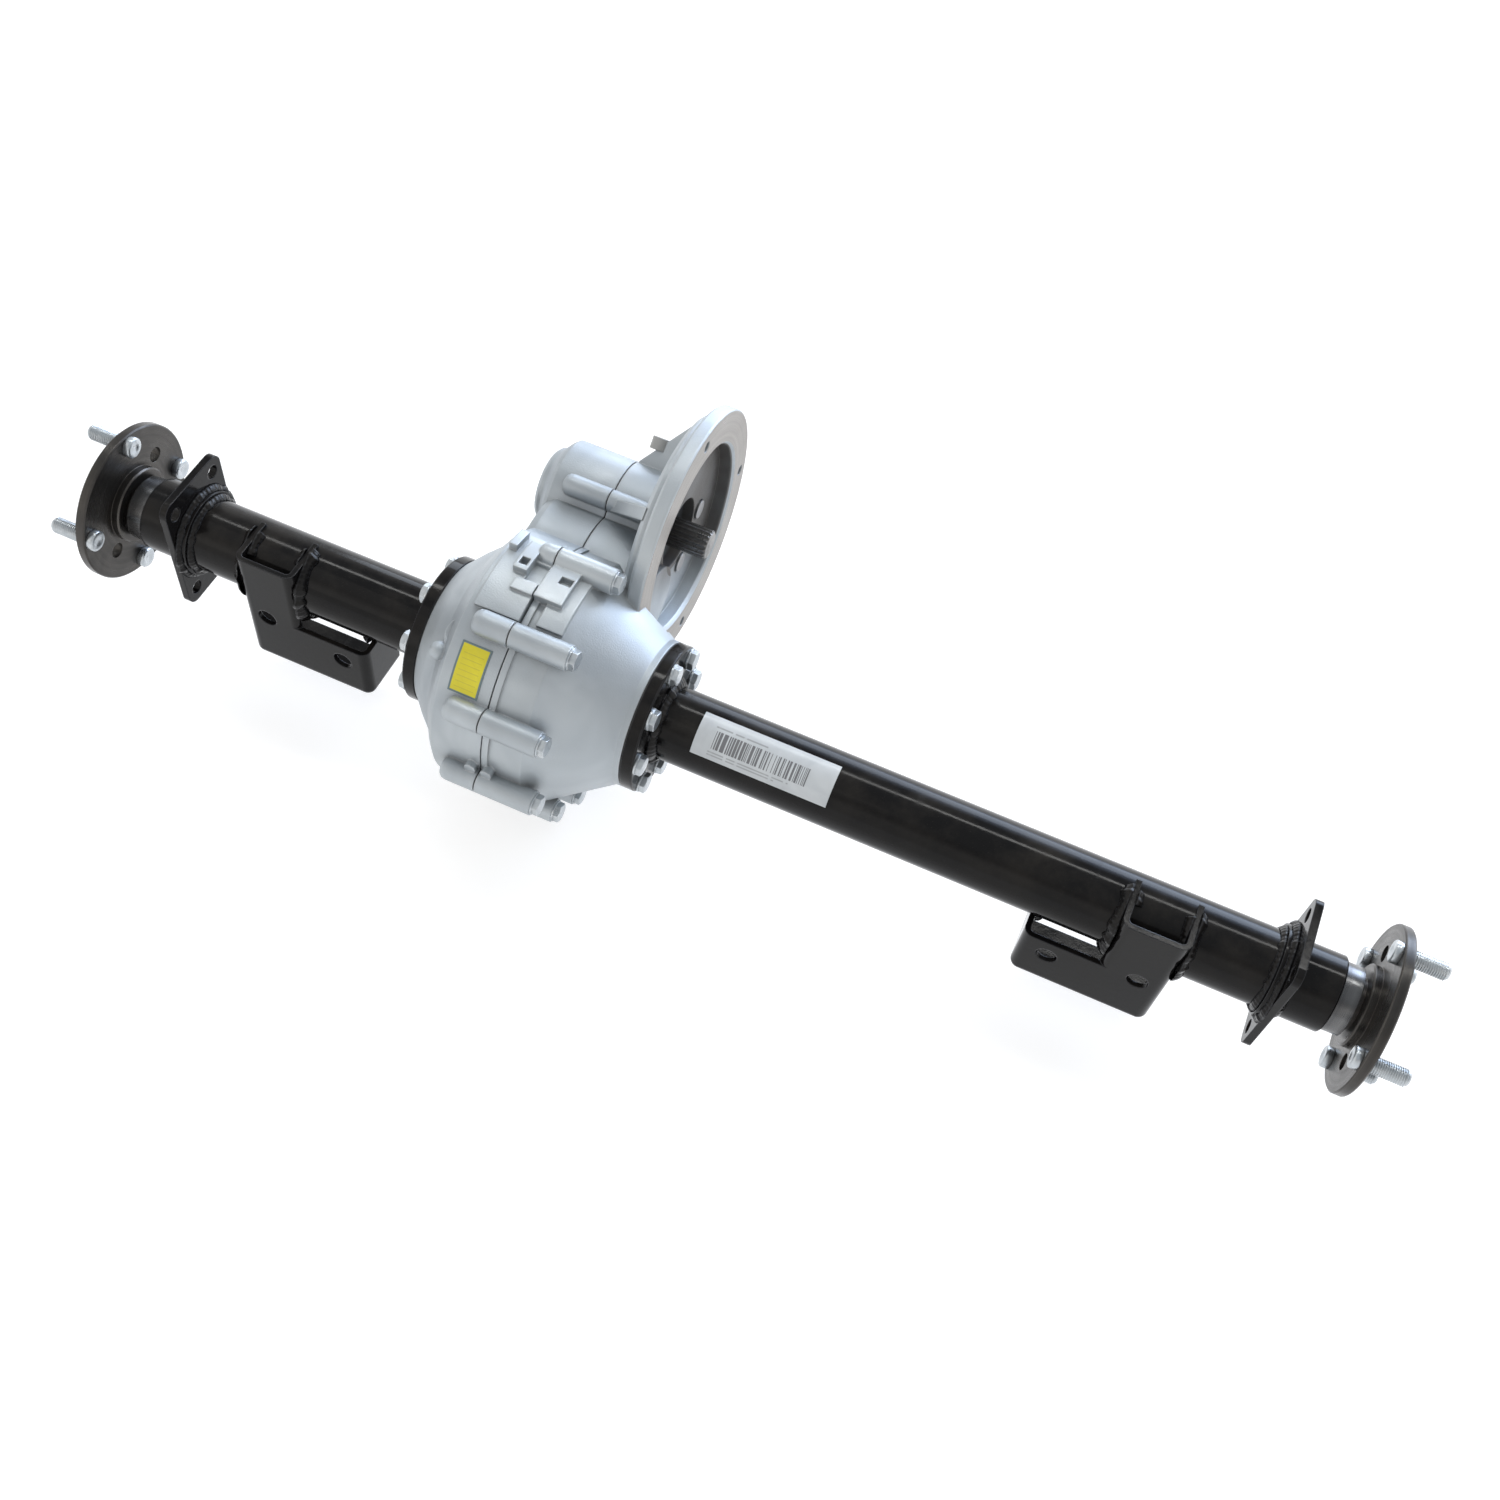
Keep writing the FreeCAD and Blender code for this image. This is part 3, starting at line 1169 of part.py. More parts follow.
for index, spot in enumerate(boss_spots, start=1):
    bores.append(cylinder("right_bolt_hole_" + str(index),
                          size.case_bolt_radius + size.bolt_hole_room, right_seam - 1,
                          size.boss_right_end + 1, spot))
screw_seat = size.bell_floor - 4.5
for index, spot in enumerate(lobe_spots, start=1):
    bores.append(cylinder("right_screw_hole_" + str(index),
                          size.case_bolt_radius + size.bolt_hole_room, right_seam - 1,
                          size.bell_floor + 1, spot))
    bores.append(cylinder("right_screw_seat_" + str(index), size.bolt_head_radius + 0.4,
                          screw_seat, size.bell_floor + 1, spot))
for index in range(int(size.flange_bolt_count.number)):
    turn = size.right_flange_bolt_angle + Term(360 * index, str(360 * index)) / size.flange_bolt_count
    bores.append(cylinder("right_flange_tap_" + str(index + 1), size.flange_bolt_radius + size.fit,
                          size.case_right_face - size.flange_bolt_depth, size.case_right_face + 1,
                          polar(size.flange_bolt_reach, turn)))
for index in range(int(size.bell_hole_count.number)):
    turn = size.bell_hole_angle + Term(360 * index, str(360 * index)) / size.bell_hole_count
    bores.append(cylinder("bell_tap_" + str(index + 1), size.bell_hole_radius,
                          size.bell_face - size.bell_hole_depth, size.bell_face + 1,
                          polar(size.bell_hole_reach, turn, drive)))
bores.append(upright("breather_seat", size.breather_radius + size.fit, size.breather_height + 9))
keep(cut("right_case_half", right_full, fused("right_case_bores", bores)))

inset = size.seam_gasket_inset
pieces = [
    cylinder("gasket_main", size.right_band_radius - inset, left_seam, right_seam),
    cylinder("gasket_neck", size.neck_radius - inset, left_seam, right_seam, mid),
    cylinder("gasket_lobe", size.lobe_radius - inset, left_seam, right_seam, drive),
    sector("gasket_lug", pocket_floor, left_seam, right_seam, -6, 20),
]
holes = [
    cylinder("gasket_cavity", cavity_radius, left_seam - 1, right_seam + 1),
    cylinder("gasket_gear_room", gear_room, left_seam - 1, right_seam + 1, mid),
    cylinder("gasket_drive_room", size.drive_bearing_outer + size.fit, left_seam - 1,
             right_seam + 1, drive),
]
for index, spot in enumerate(boss_spots + lobe_spots, start=1):
    reach = size.boss_radius if index <= len(boss_spots) else size.lobe_boss_radius
    pieces.append(cylinder("gasket_boss_" + str(index), reach - inset, left_seam, right_seam, spot))
    holes.append(cylinder("gasket_hole_" + str(index), size.case_bolt_radius + size.bolt_hole_room,
                          left_seam - 1, right_seam + 1, spot))
keep(cut("case_gasket", fused("gasket_sheet", pieces), fused("gasket_holes", holes)))

bolts = []
for index, spot in enumerate(boss_spots, start=1):
    name = "case_bolt_" + str(index)
    bolts.append(fused(name, [
        cylinder(name + "_shank", size.case_bolt_radius,
                 (top_boss_left if index == 1 else boss_left) + size.boss_point,
                 size.boss_right_end, spot),
    ] + bolt_head(name, size.boss_right_end, 1, spot)))
keep(group("case_bolts", bolts))
screws = []
for index, spot in enumerate(lobe_spots, start=1):
    name = "bell_screw_" + str(index)
    screws.append(fused(name, [
        cylinder(name + "_shank", size.case_bolt_radius, lobe_boss_left + size.boss_point,
                 screw_seat, spot),
        cylinder(name + "_head", size.bolt_head_radius - 0.5, screw_seat, screw_seat + 6, spot),
    ]))
keep(group("bell_screws", screws))

for name, angle in (("fill", size.fill_angle), ("drain", size.drain_angle)):
    keep(fused(name + "_plug", [
        spoke(name + "_plug_thread", "round", size.plug_radius, size.plug_thread,
              size.plug_place, size.plug_boss_reach - size.plug_thread, angle),
        spoke(name + "_plug_head", "hexagon", size.plug_head, size.plug_head_height,
              size.plug_place, size.plug_boss_reach, angle),
    ]))

keep(upright("breather", size.breather_radius, size.breather_height))

# Labels lie on the left band and on the right tube.
yellow_end = size.yellow_start + size.yellow_length
keep(cut("yellow_label",
         sector("yellow_label_outer",
                size.left_band_radius + size.label_glue + size.label_thickness,
                size.yellow_start, yellow_end, size.yellow_angle - size.yellow_turn,
                size.yellow_angle),
         cylinder("yellow_label_inner", size.left_band_radius + size.label_glue,
                  size.yellow_start - 1,
                  yellow_end + 1)))
white_end = size.white_start + size.white_length
keep(cut("white_label",
         sector("white_label_outer",
                size.tube_outer_radius + size.label_glue + size.label_thickness,
                size.white_start, white_end, size.white_angle - size.white_turn,
                size.white_angle),
         cylinder("white_label_inner", size.tube_outer_radius + size.label_glue,
                  size.white_start - 1,
                  white_end + 1)))

# Shafts, gears and bearings inside the case.

mid_turn = size.mid_angle.number
link_turn = size.input_angle.number
# A tooth of the ring gear points at the intermediate shaft, where its pinion has a gap.
ring_first = mid_turn
pinion_first = mid_turn + 180 + 180 / size.pinion_teeth.number
gear_first = link_turn
input_first = link_turn + 180 + 180 / size.input_teeth.number

ring_inner = size.diff_body_radius + size.fit
ring_screw_reach = size.diff_body_radius + size.ring_screw_room
diff_flange_radius = ring_screw_reach + size.diff_flange_edge
cover_screw_reach = size.diff_body_radius - size.cover_screw_inset
ring_blank = spur_gear("ring_gear_teeth", size.ring_teeth, size.final_module, size.ring_start,
                       size.ring_width, ring_inner, (0, 0), ring_first)
ring_tools = []
screw_floor = size.ring_start + size.ring_width - 7
for index in range(int(size.ring_screw_count.number)):
    turn = Term(360 * index, str(360 * index)) / size.ring_screw_count
    spot = polar(ring_screw_reach, turn)
    ring_tools.append(cylinder("ring_hole_" + str(index + 1), size.ring_screw_radius + 0.3,
                               size.ring_start - 1, screw_floor + 1, spot))
    ring_tools.append(cylinder("ring_seat_" + str(index + 1), size.ring_screw_head + 0.4,
                               screw_floor, size.ring_start + size.ring_width + 1, spot))
keep(cut("ring_gear", ring_blank, fused("ring_gear_holes", ring_tools)))
screws = []
flange_start = size.ring_start - size.diff_flange_width
for index in range(int(size.ring_screw_count.number)):
    name = "ring_screw_" + str(index + 1)
    turn = Term(360 * index, str(360 * index)) / size.ring_screw_count
    spot = polar(ring_screw_reach, turn)
    screws.append(fused(name, [
        cylinder(name + "_shank", size.ring_screw_radius, flange_start + 0.5, screw_floor, spot),
        cylinder(name + "_head", size.ring_screw_head, screw_floor, screw_floor + 6, spot),
    ]))
keep(group("ring_gear_screws", screws))

cavity_start = size.diff_centre - size.diff_cavity_half
cavity_end = size.diff_centre + size.diff_cavity_half
hub_room = size.side_hub_radius + size.running_gap
left_journal = size.left_diff_bearing
left_journal_end = size.left_diff_bearing + size.diff_bearing_width
diff_body = turned("differential_case_body", [
    (left_journal + 0.5, size.shaft_radius + 0.5), (left_journal + 0.5, size.diff_journal_radius),
    (left_journal_end, size.diff_journal_radius), (left_journal_end, size.diff_tube_radius),
    (flange_start, size.diff_tube_radius), (flange_start, diff_flange_radius),
    (size.ring_start, diff_flange_radius), (size.ring_start, size.diff_body_radius),
    (cavity_end, size.diff_body_radius), (cavity_end, size.diff_cavity_radius),
    (cavity_start, size.diff_cavity_radius), (cavity_start, hub_room),
    (cavity_start - size.side_hub_length - 0.5, hub_room),
    (cavity_start - size.side_hub_length - 0.5, size.shaft_radius + 0.5),
])
tools = []
for index in range(int(size.ring_screw_count.number)):
    turn = Term(360 * index, str(360 * index)) / size.ring_screw_count
    tools.append(cylinder("flange_tap_" + str(index + 1), size.ring_screw_radius + size.fit,
                          flange_start - 1, size.ring_start + 1,
                          polar(ring_screw_reach, turn)))
cover_spots = [polar(cover_screw_reach, 30 + 60 * index) for index in range(6)]
for index, spot in enumerate(cover_spots, start=1):
    tools.append(cylinder("cover_tap_" + str(index), 1.5 + size.fit, cavity_end - 10,
                          cavity_end + 1, spot))
for name, angle in (("top", 0), ("bottom", 180)):
    tools.append(spoke("spider_seat_" + name, "round", size.spider_hub_radius + 1.5,
                       size.spider_seat - 5, size.diff_centre, 5, angle))
    tools.append(spoke("pin_hole_" + name, "round", size.pin_radius + size.fit, 50,
                       size.diff_centre, 5, angle))
keep(cut("differential_case", diff_body, fused("differential_case_holes", tools)))
right_journal = size.right_diff_bearing
cover_end = cavity_end + size.diff_cover_width
cover = turned("differential_cover_body", [
    (cavity_end, hub_room), (cavity_end, size.diff_body_radius),
    (cover_end, size.diff_body_radius), (cover_end, size.diff_tube_radius),
    (right_journal, size.diff_tube_radius), (right_journal, size.diff_journal_radius),
    (right_journal + size.diff_bearing_width - 0.5, size.diff_journal_radius),
    (right_journal + size.diff_bearing_width - 0.5, size.shaft_radius + 0.5),
    (cavity_end + size.side_hub_length + 0.5, size.shaft_radius + 0.5),
    (cavity_end + size.side_hub_length + 0.5, hub_room),
])
cover_seat = cover_end - 2.2
tools = [cylinder("cover_hole_" + str(index), 1.8, cavity_end - 1, cover_end + 1, spot)
         for index, spot in enumerate(cover_spots, start=1)]
tools += [cylinder("cover_seat_" + str(index), 3.1, cover_seat, cover_end + 1, spot)
          for index, spot in enumerate(cover_spots, start=1)]
keep(cut("differential_cover", cover, fused("differential_cover_holes", tools)))
screws = []
for index, spot in enumerate(cover_spots, start=1):
    name = "cover_screw_" + str(index)
    screws.append(fused(name, [
        cylinder(name + "_shank", 1.5, cavity_end - 9, cover_seat, spot),
        cylinder(name + "_head", 2.8, cover_seat, cover_end - 0.2, spot),
    ]))
keep(group("differential_cover_screws", screws))

pin = doc.addObject("Part::Cylinder", "cross_pin")
bind(pin, "Radius", size.pin_radius)
bind(pin, "Height", size.pin_half * 2)
keep(place(pin, (size.diff_centre, 0, -size.pin_half)))

side_teeth = size.side_teeth.number
spider_teeth = size.spider_teeth.number
pitch = size.side_pitch_radius.number
far = side_reach.number
near = far * 0.66
flange_room = size.diff_cavity_half - size.washer_thickness
for side, sign in SIDES:
    # Teeth with the apex at the centre of the differential, and a hub behind them.
    teeth = doc.addObject("Part::Feature", side + "_side_teeth")
    teeth.Shape = bevel_teeth(side_teeth, spider_teeth, pitch, near, far,
                              size.side_seat_radius.number + size.fit.number, 0)
    turn = Rotation(Vector(0, 1, 0), -90 if sign > 0 else 90)
    place(teeth, (size.diff_centre, 0, 0), turn)
    bore = size.side_seat_radius + size.fit
    back = [
        (side_reach - 0.5, bore), (side_reach - 0.5, size.side_flange_radius),
        (flange_room, size.side_flange_radius), (flange_room, size.side_hub_radius),
        (first_gap, size.side_hub_radius), (first_gap, bore),
    ]
    back = [(size.diff_centre - value if sign > 0 else size.diff_centre + value, radius)
            for value, radius in back]
    hub = turned(side + "_side_hub", back)
    # The plain shaft behind the splined seat turns inside the hub's own bore.
    hub_bore_start = seat_gap
    first, last = span(size.diff_centre - hub_bore_start if sign > 0 else
                       size.diff_centre + hub_bore_start,
                       size.diff_centre - first_gap - 1 if sign > 0 else
                       size.diff_centre + first_gap + 1)
    whole = fused(side + "_side_blank", [teeth, hub])
    keep(cut(side + "_side_gear", whole,
             cylinder(side + "_side_counterbore", size.shaft_radius + size.fit, first, last)))
    first, last = span(size.diff_centre - flange_room if sign > 0 else
                       size.diff_centre + flange_room,
                       cavity_start if sign > 0 else cavity_end)
    keep(ring(side + "_side_washer", size.side_hub_radius + size.running_gap,
              size.side_flange_radius, first, last))

spider_end = size.spider_seat - size.washer_thickness - 0.1
washers = []
for name, angle in (("top", 0), ("bottom", 180)):
    spider = doc.addObject("Part::Feature", name + "_spider_teeth")
    lower = pitch * 0.66
    upper = size.spider_face.number
    spider.Shape = bevel_teeth(spider_teeth, side_teeth, far, lower, upper,
                               size.pin_radius.number + size.running_gap.number,
                               180 / spider_teeth)
    place(spider, (size.diff_centre, 0, 0), Rotation(Vector(1, 0, 0), angle))
    hub = spoke(name + "_spider_hub", "round", size.spider_hub_radius,
                spider_end - size.spider_face + 0.5, size.diff_centre, size.spider_face - 0.5, angle)
    hole = spoke(name + "_spider_bore", "round", size.pin_radius + size.running_gap, 40,
                 size.diff_centre, 5, angle)
    keep(cut(name + "_spider_gear", fused(name + "_spider_blank", [spider, hub]), hole))
    plate = spoke(name + "_washer_plate", "round", size.spider_hub_radius, size.washer_thickness,
                  size.diff_centre, size.spider_seat - size.washer_thickness, angle)
    hole = spoke(name + "_washer_bore", "round", size.pin_radius + size.fit, 40,
                 size.diff_centre, 5, angle)
    washers.append(cut(name + "_spider_washer", plate, hole))
keep(group("spider_washers", washers))

keep(bearing("left_differential_bearing", size.diff_journal_radius, size.diff_bearing_outer,
             size.left_diff_bearing, size.diff_bearing_width))
keep(bearing("right_differential_bearing", size.diff_journal_radius, size.diff_bearing_outer,
             size.right_diff_bearing, size.diff_bearing_width))
keep(bearing("left_intermediate_bearing", size.mid_journal_radius, size.mid_bearing_outer,
             size.left_mid_bearing, size.mid_bearing_width, mid))
keep(bearing("right_intermediate_bearing", size.mid_journal_radius, size.mid_bearing_outer,
             size.right_mid_bearing, size.mid_bearing_width, mid))
keep(bearing("left_input_bearing", size.input_journal_radius, size.input_bearing_outer,
             size.left_input_bearing, size.input_bearing_width, drive))
keep(bearing("right_input_bearing", size.drive_journal_radius, size.drive_bearing_outer,
             size.right_input_bearing, size.drive_bearing_width, drive))
seal_start = size.right_input_bearing + size.drive_bearing_width
keep(ring("input_seal", size.drive_journal_radius + size.running_gap, size.input_seal_radius,
          seal_start + 0.2, seal_start + 0.2 + size.input_seal_width, drive))

# Intermediate shaft: the large gear sits on its left, the pinion is cut from the shaft.
first_end = size.first_start + size.first_width
ring_end = size.ring_start + size.ring_width
mid_shaft = turned("intermediate_shaft_bar", [
    (size.left_mid_bearing, 0), (size.left_mid_bearing, size.mid_journal_radius),
    (size.left_mid_bearing + size.mid_bearing_width, size.mid_journal_radius),
    (size.left_mid_bearing + size.mid_bearing_width, 13), (size.first_start, 13),
    (size.first_start, 15), (first_end, 15), (first_end, 16), (size.ring_start - 2, 16),
    (size.ring_start - 2, 11), (ring_end + 2, 11), (ring_end + 2, 12.5),
    (size.right_mid_bearing, 12.5), (size.right_mid_bearing, size.mid_journal_radius),
    (size.right_mid_bearing + size.mid_bearing_width - 0.5, size.mid_journal_radius),
    (size.right_mid_bearing + size.mid_bearing_width - 0.5, 0),
], mid)
mid_pinion = spur_gear("intermediate_pinion_teeth", size.pinion_teeth, size.final_module,
                       size.ring_start - 1, size.ring_width + 2, None, mid, pinion_first)
keep(fused("intermediate_shaft", [mid_shaft, mid_pinion]))
keep(spur_gear("intermediate_gear", size.mid_teeth, size.first_module, size.first_start,
               size.first_width, 15 + size.fit, mid, gear_first))

# Input shaft: pinion at the left, bearing seat and seal seat in the middle, splines at the right.
spline_end = size.bell_face + size.spline_reach
input_shaft = turned("input_shaft_bar", [
    (0, 0), (0, size.input_journal_radius),
    (size.input_bearing_width + 0.5, size.input_journal_radius),
    (size.input_bearing_width + 0.5, 11.5), (size.first_start - size.left_input_bearing + 1, 11.5),
    (size.first_start - size.left_input_bearing + 1, 11),
    (first_end - size.left_input_bearing, 11), (first_end - size.left_input_bearing, 15.5),
    (size.right_input_bearing - size.left_input_bearing, 15.5),
    (size.right_input_bearing - size.left_input_bearing, size.drive_journal_radius),
    (size.seal_floor + 2 - size.left_input_bearing, size.drive_journal_radius),
    (size.seal_floor + 4 - size.left_input_bearing, size.spline_radius),
    (spline_end - 1.5 - size.left_input_bearing, size.spline_radius),
    (spline_end - size.left_input_bearing, size.spline_radius - 1.5),
    (spline_end - size.left_input_bearing, 0),
], drive, size.left_input_bearing)
input_pinion = spur_gear("input_pinion_teeth", size.input_teeth, size.first_module,
                         size.first_start - 1, size.first_width + 2, None, drive, input_first)
grooves = []
for index in range(int(size.spline_count.number)):
    turn = Term(360 * index, str(360 * index)) / size.spline_count
    grooves.append(cylinder("spline_groove_" + str(index + 1), size.spline_depth,
                            size.seal_floor + 8, spline_end + 1,
                            polar(size.spline_radius + 0.2, turn, drive)))
keep(cut("input_shaft", fused("input_shaft_blank", [input_shaft, input_pinion]),
         fused("spline_grooves", grooves)))

doc.recompute()

for thing in doc.Objects:
    if "Invalid" in thing.State or "Error" in thing.State:
        raise RuntimeError(thing.Label + " failed")
for thing in nodes:
    shape = thing.Shape
    if shape.isNull() or not shape.isValid():
        raise RuntimeError(thing.Label + " is not a valid shape")
    print(thing.Label, len(shape.Solids), round(shape.Volume, 1))

os.makedirs("parts", exist_ok=True)
for thing in nodes:
    thing.Shape.exportStep("parts/" + thing.Label + ".step")
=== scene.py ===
import json
import math

import bmesh
import bpy
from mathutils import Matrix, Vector

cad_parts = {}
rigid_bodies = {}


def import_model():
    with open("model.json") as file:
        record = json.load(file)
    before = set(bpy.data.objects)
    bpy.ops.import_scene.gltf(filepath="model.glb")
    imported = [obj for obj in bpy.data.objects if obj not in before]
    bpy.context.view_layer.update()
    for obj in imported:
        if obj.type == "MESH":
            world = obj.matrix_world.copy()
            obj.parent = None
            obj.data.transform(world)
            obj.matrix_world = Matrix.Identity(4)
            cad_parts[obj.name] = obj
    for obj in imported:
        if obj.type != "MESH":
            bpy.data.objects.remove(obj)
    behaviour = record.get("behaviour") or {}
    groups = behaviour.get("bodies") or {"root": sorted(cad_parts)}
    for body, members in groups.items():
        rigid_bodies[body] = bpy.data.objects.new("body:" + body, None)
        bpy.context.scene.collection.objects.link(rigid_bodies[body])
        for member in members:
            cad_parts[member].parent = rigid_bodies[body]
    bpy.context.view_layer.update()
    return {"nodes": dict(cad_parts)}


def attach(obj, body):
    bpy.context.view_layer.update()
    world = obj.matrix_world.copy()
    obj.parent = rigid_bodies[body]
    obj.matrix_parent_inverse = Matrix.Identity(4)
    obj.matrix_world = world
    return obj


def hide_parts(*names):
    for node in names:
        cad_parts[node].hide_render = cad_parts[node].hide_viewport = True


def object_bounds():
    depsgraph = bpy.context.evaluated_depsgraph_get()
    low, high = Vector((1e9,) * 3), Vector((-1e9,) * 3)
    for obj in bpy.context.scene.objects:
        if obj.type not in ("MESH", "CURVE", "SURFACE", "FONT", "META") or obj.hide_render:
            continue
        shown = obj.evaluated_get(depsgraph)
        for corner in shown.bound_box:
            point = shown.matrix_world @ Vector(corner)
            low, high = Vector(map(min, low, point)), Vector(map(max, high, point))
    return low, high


for leftover in list(bpy.data.objects):  # an empty scene, without the start-up cube
    bpy.data.objects.remove(leftover)
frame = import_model()
parts = frame["nodes"]
print("frame loaded with", len(parts), "parts")

# The camera stands where the photograph was taken from.
photoView = {
    "place": (0.67469, -0.61655, 0.94915),
    "turn": (0.573086, -0.082971, 0.412741),
    "lens": 39.6155,
    "sensor": 36,
    "shiftAcross": 0.01139,
    "shiftUp": 0.01784,
    "farthest": 100,
}
cameraData = bpy.data.cameras.new("photoCamera")
cameraData.sensor_width = photoView["sensor"]
cameraData.lens = photoView["lens"]
cameraData.shift_x = photoView["shiftAcross"]
cameraData.shift_y = photoView["shiftUp"]
cameraData.clip_end = photoView["farthest"]
camera = bpy.data.objects.new("photoCamera", cameraData)
camera.location = photoView["place"]
camera.rotation_euler = photoView["turn"]
bpy.context.scene.collection.objects.link(camera)
bpy.context.scene.camera = camera
print("camera placed")


# Small helpers for node trees.

def addNode(tree, kind, inputs=None, **settings):
    made = tree.nodes.new(kind)
    for name, value in settings.items():
        setattr(made, name, value)
    for name, value in (inputs or {}).items():
        if isinstance(value, bpy.types.NodeSocket):
            tree.links.new(value, made.inputs[name])
        else:
            made.inputs[name].default_value = value
    return made


def mathNode(tree, operation, first, second=0.0):
    return addNode(tree, "ShaderNodeMath", {0: first, 1: second}, operation=operation).outputs[0]


def multiply(tree, first, *others):
    for other in others:
        first = mathNode(tree, "MULTIPLY", first, other)
    return first


def addShare(tree, value, mask, amount):
    # the value plus so much of the mask
    return mathNode(tree, "ADD", value, multiply(tree, mask, amount))


def rangeNode(tree, value, low, high, toLow=0.0, toHigh=1.0):
    # a value between low and high becomes one between toLow and toHigh
    return addNode(tree, "ShaderNodeMapRange",
                   {"Value": value, "From Min": low, "From Max": high,
                    "To Min": toLow, "To Max": toHigh}).outputs["Result"]


def mixColour(tree, amount, first, second):
    return addNode(tree, "ShaderNodeMix", {0: amount, 6: first, 7: second},
                   data_type="RGBA").outputs[2]


def tintWhere(tree, colour, mask, amount, other):
    # the other colour shows where the mask does
    return mixColour(tree, multiply(tree, mask, amount), colour, other)


def objectPlace(tree):
    return addNode(tree, "ShaderNodeTexCoord").outputs["Object"]


def splitVector(tree, vector):
    return addNode(tree, "ShaderNodeSeparateXYZ", {"Vector": vector}).outputs


def reachNode(tree, across, up):
    # how far a place lies from a line along the axle
    squares = mathNode(tree, "ADD", multiply(tree, across, across), multiply(tree, up, up))
    return mathNode(tree, "SQRT", squares)


def startGroup(name, inputs, outputs):
    group = bpy.data.node_groups.new(name, "ShaderNodeTree")
    for label, value in inputs.items():
        socket = group.interface.new_socket(name=label, in_out="INPUT",
                                            socket_type="NodeSocketFloat")
        socket.default_value = value
    for label, kind in outputs.items():
        group.interface.new_socket(name=label, in_out="OUTPUT", socket_type=kind)
    given = group.nodes.new("NodeGroupInput").outputs
    return group, given, group.nodes.new("NodeGroupOutput").inputs


def useGroup(tree, group, values):
    made = tree.nodes.new("ShaderNodeGroup")
    made.node_tree = group
    for name, value in values.items():
        made.inputs[name].default_value = value
    return made.outputs


# The effects that several finishes share.

def makeSoftEdges():
    # corners are worn round: a softened normal, and a mask of the edges
    look = {"samples": 6, "edge": (0.99, 0.86)}
    group, given, result = startGroup("softEdges", {"Radius": 0.001},
                                      {"Normal": "NodeSocketVector", "Edge": "NodeSocketFloat"})
    rounded = addNode(group, "ShaderNodeBevel", {"Radius": given["Radius"]},
                      samples=look["samples"]).outputs[0]
    surface = addNode(group, "ShaderNodeNewGeometry").outputs["Normal"]
    meeting = addNode(group, "ShaderNodeVectorMath", {0: rounded, 1: surface},
                      operation="DOT_PRODUCT")
    group.links.new(rounded, result["Normal"])
    group.links.new(rangeNode(group, meeting.outputs["Value"], *look["edge"]), result["Edge"])
    return group


def makeCastSkin():
    # the grain and small pits of a die casting, and slow changes of tone
    look = {"pitScale": 0.42, "pit": (0.04, 0.3), "pitHeight": 0.25, "tone": (0.32, 0.68)}
    group, given, result = startGroup("castSkin", {"Grain": 900.0, "Patches": 14.0},
                                      {"Height": "NodeSocketFloat", "Tone": "NodeSocketFloat"})
    place = objectPlace(group)
    grain = addNode(group, "ShaderNodeTexNoise",
                    {"Vector": place, "Scale": given["Grain"], "Detail": 5.0,
                     "Roughness": 0.62})
    pits = addNode(group, "ShaderNodeTexVoronoi",
                   {"Vector": place, "Scale": multiply(group, given["Grain"],
                                                       look["pitScale"])})
    pit = rangeNode(group, pits.outputs["Distance"], *look["pit"])
    height = mathNode(group, "MULTIPLY_ADD", pit, look["pitHeight"])
    group.links.new(grain.outputs["Fac"], height.node.inputs[2])
    patches = addNode(group, "ShaderNodeTexNoise",
                      {"Vector": place, "Scale": given["Patches"], "Detail": 3.0,
                       "Roughness": 0.55, "Distortion": 0.6})
    group.links.new(height, result["Height"])
    group.links.new(rangeNode(group, patches.outputs["Fac"], *look["tone"]), result["Tone"])
    return group


def makeTurnedMarks():
    # fine rings of a lathe tool round a line along the axle
    look = {"slope": 0.93, "broadRings": 190.0, "fineShare": 0.45, "broadShare": 0.55,
            "tone": (0.35, 0.65)}
    group, given, result = startGroup("turnedMarks",
                                      {"Centre Y": 0.0, "Centre Z": 0.0, "Rings": 2600.0},
                                      {"Height": "NodeSocketFloat", "Tone": "NodeSocketFloat"})
    axes = splitVector(group, objectPlace(group))
    across = mathNode(group, "SUBTRACT", axes["Y"], given["Centre Y"])
    up = mathNode(group, "SUBTRACT", axes["Z"], given["Centre Z"])
    along = addShare(group, reachNode(group, across, up), axes["X"], look["slope"])
    rings = addNode(group, "ShaderNodeTexNoise",
                    {"W": multiply(group, along, given["Rings"]), "Scale": 1.0,
                     "Detail": 4.0, "Roughness": 0.7}, noise_dimensions="1D")
    broad = addNode(group, "ShaderNodeTexNoise",
                    {"W": multiply(group, along, look["broadRings"]), "Scale": 1.0,
                     "Detail": 2.0}, noise_dimensions="1D")
    tone = mathNode(group, "MULTIPLY_ADD", rings.outputs["Fac"], look["fineShare"])
    group.links.new(multiply(group, broad.outputs["Fac"], look["broadShare"]),
                    tone.node.inputs[2])
    group.links.new(rings.outputs["Fac"], result["Height"])
    group.links.new(rangeNode(group, tone, *look["tone"]), result["Tone"])
    return group


